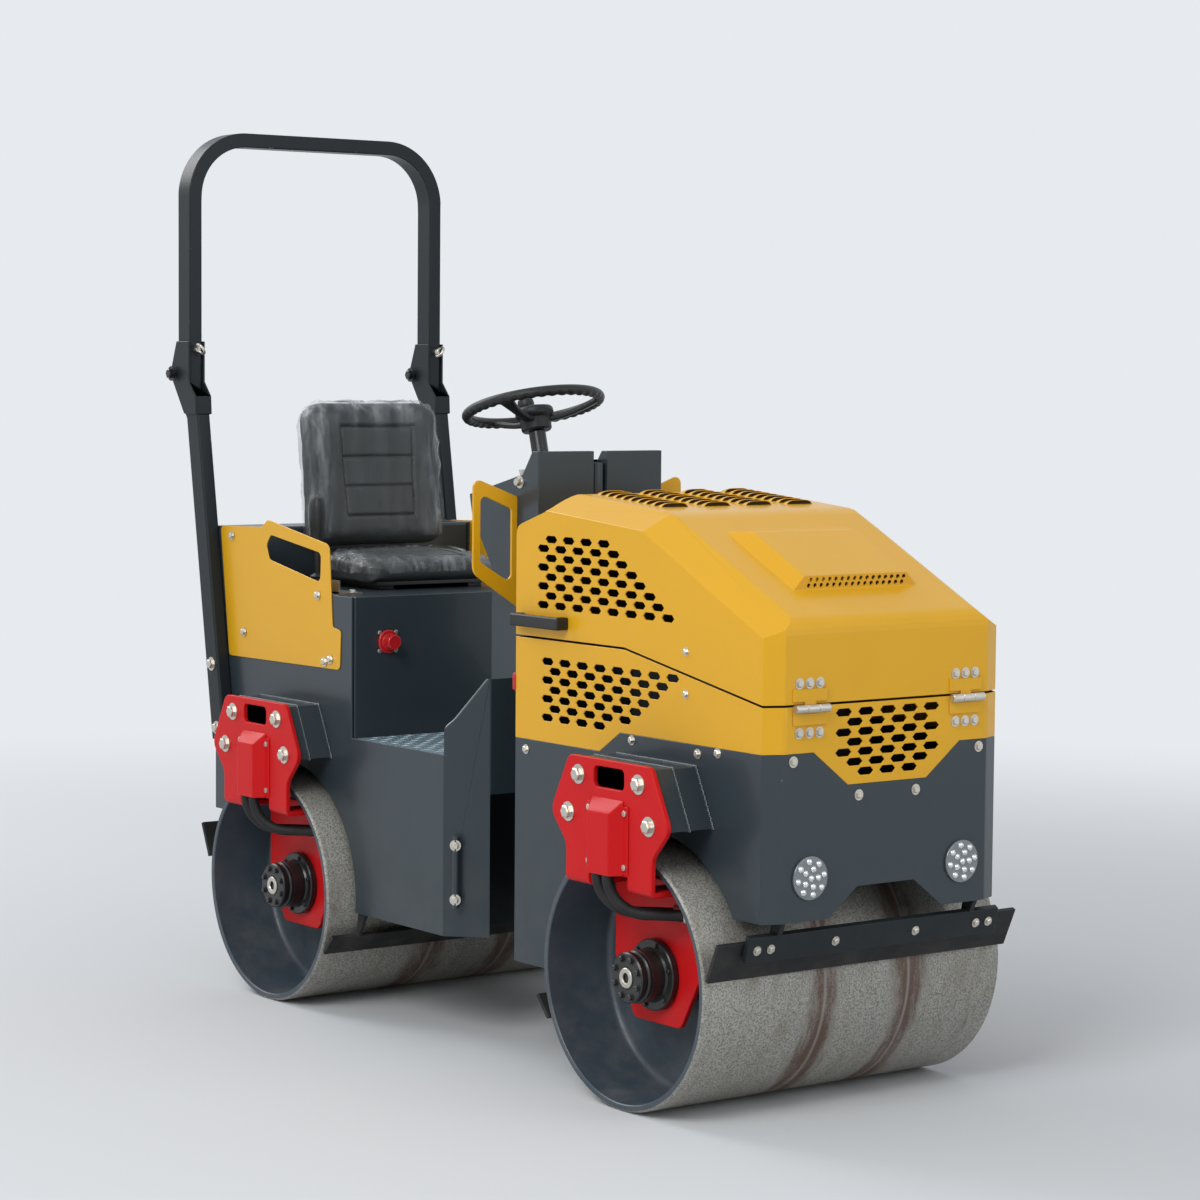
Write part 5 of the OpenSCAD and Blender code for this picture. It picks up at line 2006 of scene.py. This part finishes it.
@dataclass
class HandWheel:
    """Steering wheel with finger bumps, dished spokes and a spinner knob.

    Attributes:
        ring: Radius of the rim's middle, in millimetres.
        tube: Radius of the rim.
        tilt: Tilt of the column, in degrees.
        bumps: Finger bumps round the rim.
        spokes: Turn of each spoke, in degrees.
        knob: Turn of the spinner knob.
        middle: Middle of the rim.
        axis: Direction of the column.
        side: Direction across the wheel, at the turn of 0.
    """

    ring: float = 158.0
    tube: float = 13.0
    tilt: float = 15.5
    bumps: int = 40
    spokes: Triple = (60.0, 180.0, 300.0)
    knob: float = 150.0
    middle: Vector = field(init=False)
    axis: Vector = field(init=False)
    side: Vector = field(init=False)

    def __post_init__(self) -> None:
        """Works out the wheel's place and directions."""
        a = math.radians(self.tilt)
        self.middle = at(-186, 0, 1180)
        self.axis = Vector((-math.sin(a), 0, math.cos(a)))
        self.side = Vector((math.cos(a), 0, math.sin(a)))

    def build(self) -> None:
        """Makes the wheel and joins its parts."""
        parts = [self._rim()]
        parts += [self._spoke(math.radians(turn)) for turn in self.spokes]
        parts += [self._hub(), self._knob(math.radians(self.knob))]
        wheel = join("hand_wheel_shell", parts)
        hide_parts("steering_wheel")
        dress(wheel, "hand_wheel", PLASTIC)

    def _spot(self, angle: float, radius: float, height: float) -> Vector:
        """Gives a point of the wheel from an angle, a radius and a height."""
        flat = self.side * math.cos(angle) + LEFT * math.sin(angle)
        return self.middle + (flat * radius + self.axis * height) / 1000

    def _rim(self) -> Piece:
        """Sweeps the rim, waved on its underside."""
        steps = self.bumps * 6
        path = [self._spot(math.tau * i / steps, self.ring, 0) for i in range(steps)]

        def section(share: float) -> list[Pair]:
            """Outline of the rim at one place, dented between two fingers."""
            dent = 2.6 * (0.5 - 0.5 * math.cos(math.tau * self.bumps * share))
            return [
                (self.tube * math.cos(t), self.tube * math.sin(t) + (dent if math.sin(t) < -0.3 else 0.0))
                for t in (math.tau * i / 16 for i in range(16))
            ]

        return sweep("rim", path, section, self.axis, True)

    def _spoke(self, angle: float) -> Piece:
        """Sweeps one dished spoke."""
        path = []
        for i in range(15):
            s = i / 14
            path.append(self._spot(angle, 22 + (self.ring - 26) * s, -34 + 32 * s**1.7))

        def section(share: float) -> list[Pair]:
            """Outline of the spoke, slim in the middle."""
            return oval(15 - 5 * math.sin(math.pi * share) + 5 * share**4, 7, 3.2)

        return sweep("spoke", path, section, self.axis)

    def _hub(self) -> Piece:
        """Turns the hub with its cap."""
        profile = [
            (9.5, -59), (33, -59), (36, -55), (37, -30), (44, -24), (46, -18), (45, -8), (42, -4),
            (30, -3), (28, -1), (20, 1.5), (0, 2.5),
        ]
        return lathe("hub", profile, self.middle, self.axis, 48)

    def _knob(self, angle: float) -> Piece:
        """Turns the spinner knob and its stem."""
        profile = [
            (0, 8), (12, 8), (12, 18), (8, 20), (8, 26), (15, 28), (19, 34), (20.5, 42), (19, 51), (13, 57),
            (0, 60),
        ]
        return lathe("knob", profile, self._spot(angle, self.ring, 0), self.axis, 32)


@dataclass
class Dash:
    """Gauge, key switch, rockers and lamps on the console's slope.

    Attributes:
        low: Lower edge of the slope: distance from the pin and height, in millimetres.
        rise: How much the slope rises per unit of length.
        half: Half the console's width.
        gauge: Distance of the gauge from the pin, and its offset; the key's is the same to the right.
        body: Body that carries the console.
        up: Direction that the slope faces.
    """

    low: Pair = (-194.0, 977.0)
    rise: float = 53 / 216
    half: float = 176.0
    gauge: Pair = (-70.0, 108.0)
    body: str = field(init=False)
    up: Vector = field(init=False)

    def __post_init__(self) -> None:
        """Looks up the console's body and works out where its slope faces."""
        self.body = body_of("console")
        self.up = Vector((-self.rise, 0, 1)).normalized()

    def build(self, screws: Fasteners) -> None:
        """Makes the dash.

        Args:
            screws: Set of small screws.
        """
        self._gauge(self._spot(*self.gauge))
        self._switches()
        profile = [(0, 13), (8, 13), (9, 11), (9, 3), (15, 2), (15, -1), (0, -1)]
        for side in (-1, 1):
            nut = lathe("thumb_nut", profile, at(13, side * self.half, 1012), Vector((0, side, 0)), 16)
            dress(nut, self.body, ZINC)
            for x in (-176, 4):
                screws.add(self.body, self._spot(x, side * (self.half - 14)), self.up, 5.0)

    def _spot(self, x: float, y: float) -> Vector:
        """Gives a point on the slope."""
        return at(x, y, self.low[1] + (x - self.low[0]) * self.rise)

    def _gauge(self, spot: Vector) -> None:
        """Makes the round gauge: rim, dark face, ticks and needle.

        Args:
            spot: Middle of the gauge.
        """
        rim = [(37, -1), (44, -1), (44, 6), (41, 9), (38, 8), (37, 3)]
        face = [(0, 3.2), (37.5, 3.2), (37.5, -1), (0, -1)]
        dial = [lathe("rim", rim, spot, self.up, 48), lathe("face", face, spot, self.up, 48)]
        dress(join("gauge", dial), self.body, PLASTIC)

        def spoke(degrees: float, ends: Pair, height: float) -> list[Vector]:
            """Path across the face, from a direction, two distances and a height."""
            a = math.radians(degrees)
            way = LEFT * math.sin(a) + LEFT.cross(self.up) * math.cos(a)
            return [spot + (way * r + self.up * height) / 1000 for r in ends]

        bars = []
        for i in range(9):
            path = spoke(-120 + 30 * i, (27, 34), 3.2)
            bars.append(sweep("tick", path, lambda s: oval(1.3, 0.5, 4, 8), self.up))
        dress(join("gauge_ticks", bars), self.body, ZINC)
        needle = sweep("needle", spoke(-70, (-6, 26), 4.4), lambda s: oval(1.6 - s, 0.6, 2, 8), self.up)
        pin = lathe("pin", [(0, 3), (4, 3), (4, 6), (0, 6.5)], spot, self.up, 16)
        dress(join("gauge_needle", [needle, pin]), self.body, SIGNAL)

    def _switches(self) -> None:
        """Makes the key switch, three rockers and three lamps."""
        ring = [(5, 0), (13, 0), (13, 6), (11, 8), (6, 8), (5, 6)]
        dome = [(0, 5), (3, 4.4), (5, 2), (5, -1), (0, -1)]
        x, y = self.gauge[0], -self.gauge[1]
        hole = self._spot(x, y)
        dress(lathe("key_ring", ring, hole, self.up, 32), self.body, ZINC)
        path = [hole + (self.up * r) / 1000 for r in (2, 30)]
        dress(sweep("key", path, lambda s: oval(1.2, 4 + 6 * s, 4, 12), LEFT), self.body, ZINC)
        rockers, lamps = [], []
        for i in (-1, 0, 1):
            path = [self._spot(end, y + 32 * i) for end in (-134, -110)]
            rockers.append(sweep("rocker", path, lambda s: oval(10, 4.5 + 2 * s, 6, 24), self.up))
            lamps.append(lathe("dome", dome, self._spot(-30, y + 30 * i), self.up, 20))
        dress(join("rockers", rockers), self.body, PLASTIC)
        dress(join("dash_lamps", lamps), self.body, SIGNAL)


@dataclass
class LeverSet:
    """Travel lever with its bellows and palm grip.

    Attributes:
        foot: Place of the lever's foot off the pin, in millimetres.
        neck: Height of the grip's lower end over the foot.
    """

    foot: Triple = (-733.0, -260.0, 725.0)
    neck: float = 96.0

    def build(self) -> None:
        """Makes the lever."""
        x, y, z = self.foot
        bellows = [
            (30, 0), (31, 4), (26, 8), (28, 13), (22, 17), (24, 22), (18, 26), (20, 31), (13, 36), (9, 38),
            (9, 112), (0, 112),
        ]
        parts = [lathe("bellows", bellows, at(x, y, z), UP, 32)]
        path = [at(x - 6 * math.sin(i / 9 * 1.2), y, z + self.neck + 14 * i) for i in range(10)]

        def grip(share: float) -> list[Pair]:
            """Outline of the grip: slim at its neck and full at the palm."""
            wide = 10 + 11 * math.sin(min(1.0, share * 1.15) * math.pi * 0.62)
            if share > 0.9:
                wide *= 0.72
            return oval(wide * 1.05, wide * 0.86, 2.3)

        parts.append(sweep("grip", path, grip, LEFT))
        lever = join("travel_lever_shell", parts)
        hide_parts("travel_lever")
        dress(lever, body_of("travel_lever"), PLASTIC)


def main() -> None:
    """Builds the studio and every sub-assembly in order."""
    logging.basicConfig(level=logging.INFO, format="%(name)s: %(message)s")
    Studio().build()
    bolts = Fasteners("bolts", Head.HEX, ZINC)
    screws = Fasteners("screws", Head.SCREW, ZINC)
    dark_bolts = Fasteners("dark_bolts", Head.HEX, IRON)
    Bodywork().build()
    HoodSkin().build()
    HoodHinges().build()
    ScraperBars().build(bolts)
    DrumPair().build(dark_bolts)
    FrontDetails().build(bolts)
    HangerDetails().build(bolts, screws, dark_bolts)
    RearDetails().build(bolts, screws, dark_bolts)
    Seat().build()
    HandWheel().build()
    Dash().build(screws)
    LeverSet().build()
    for kit in (bolts, screws, dark_bolts):
        kit.build()


if __name__ == "__main__":
    main()
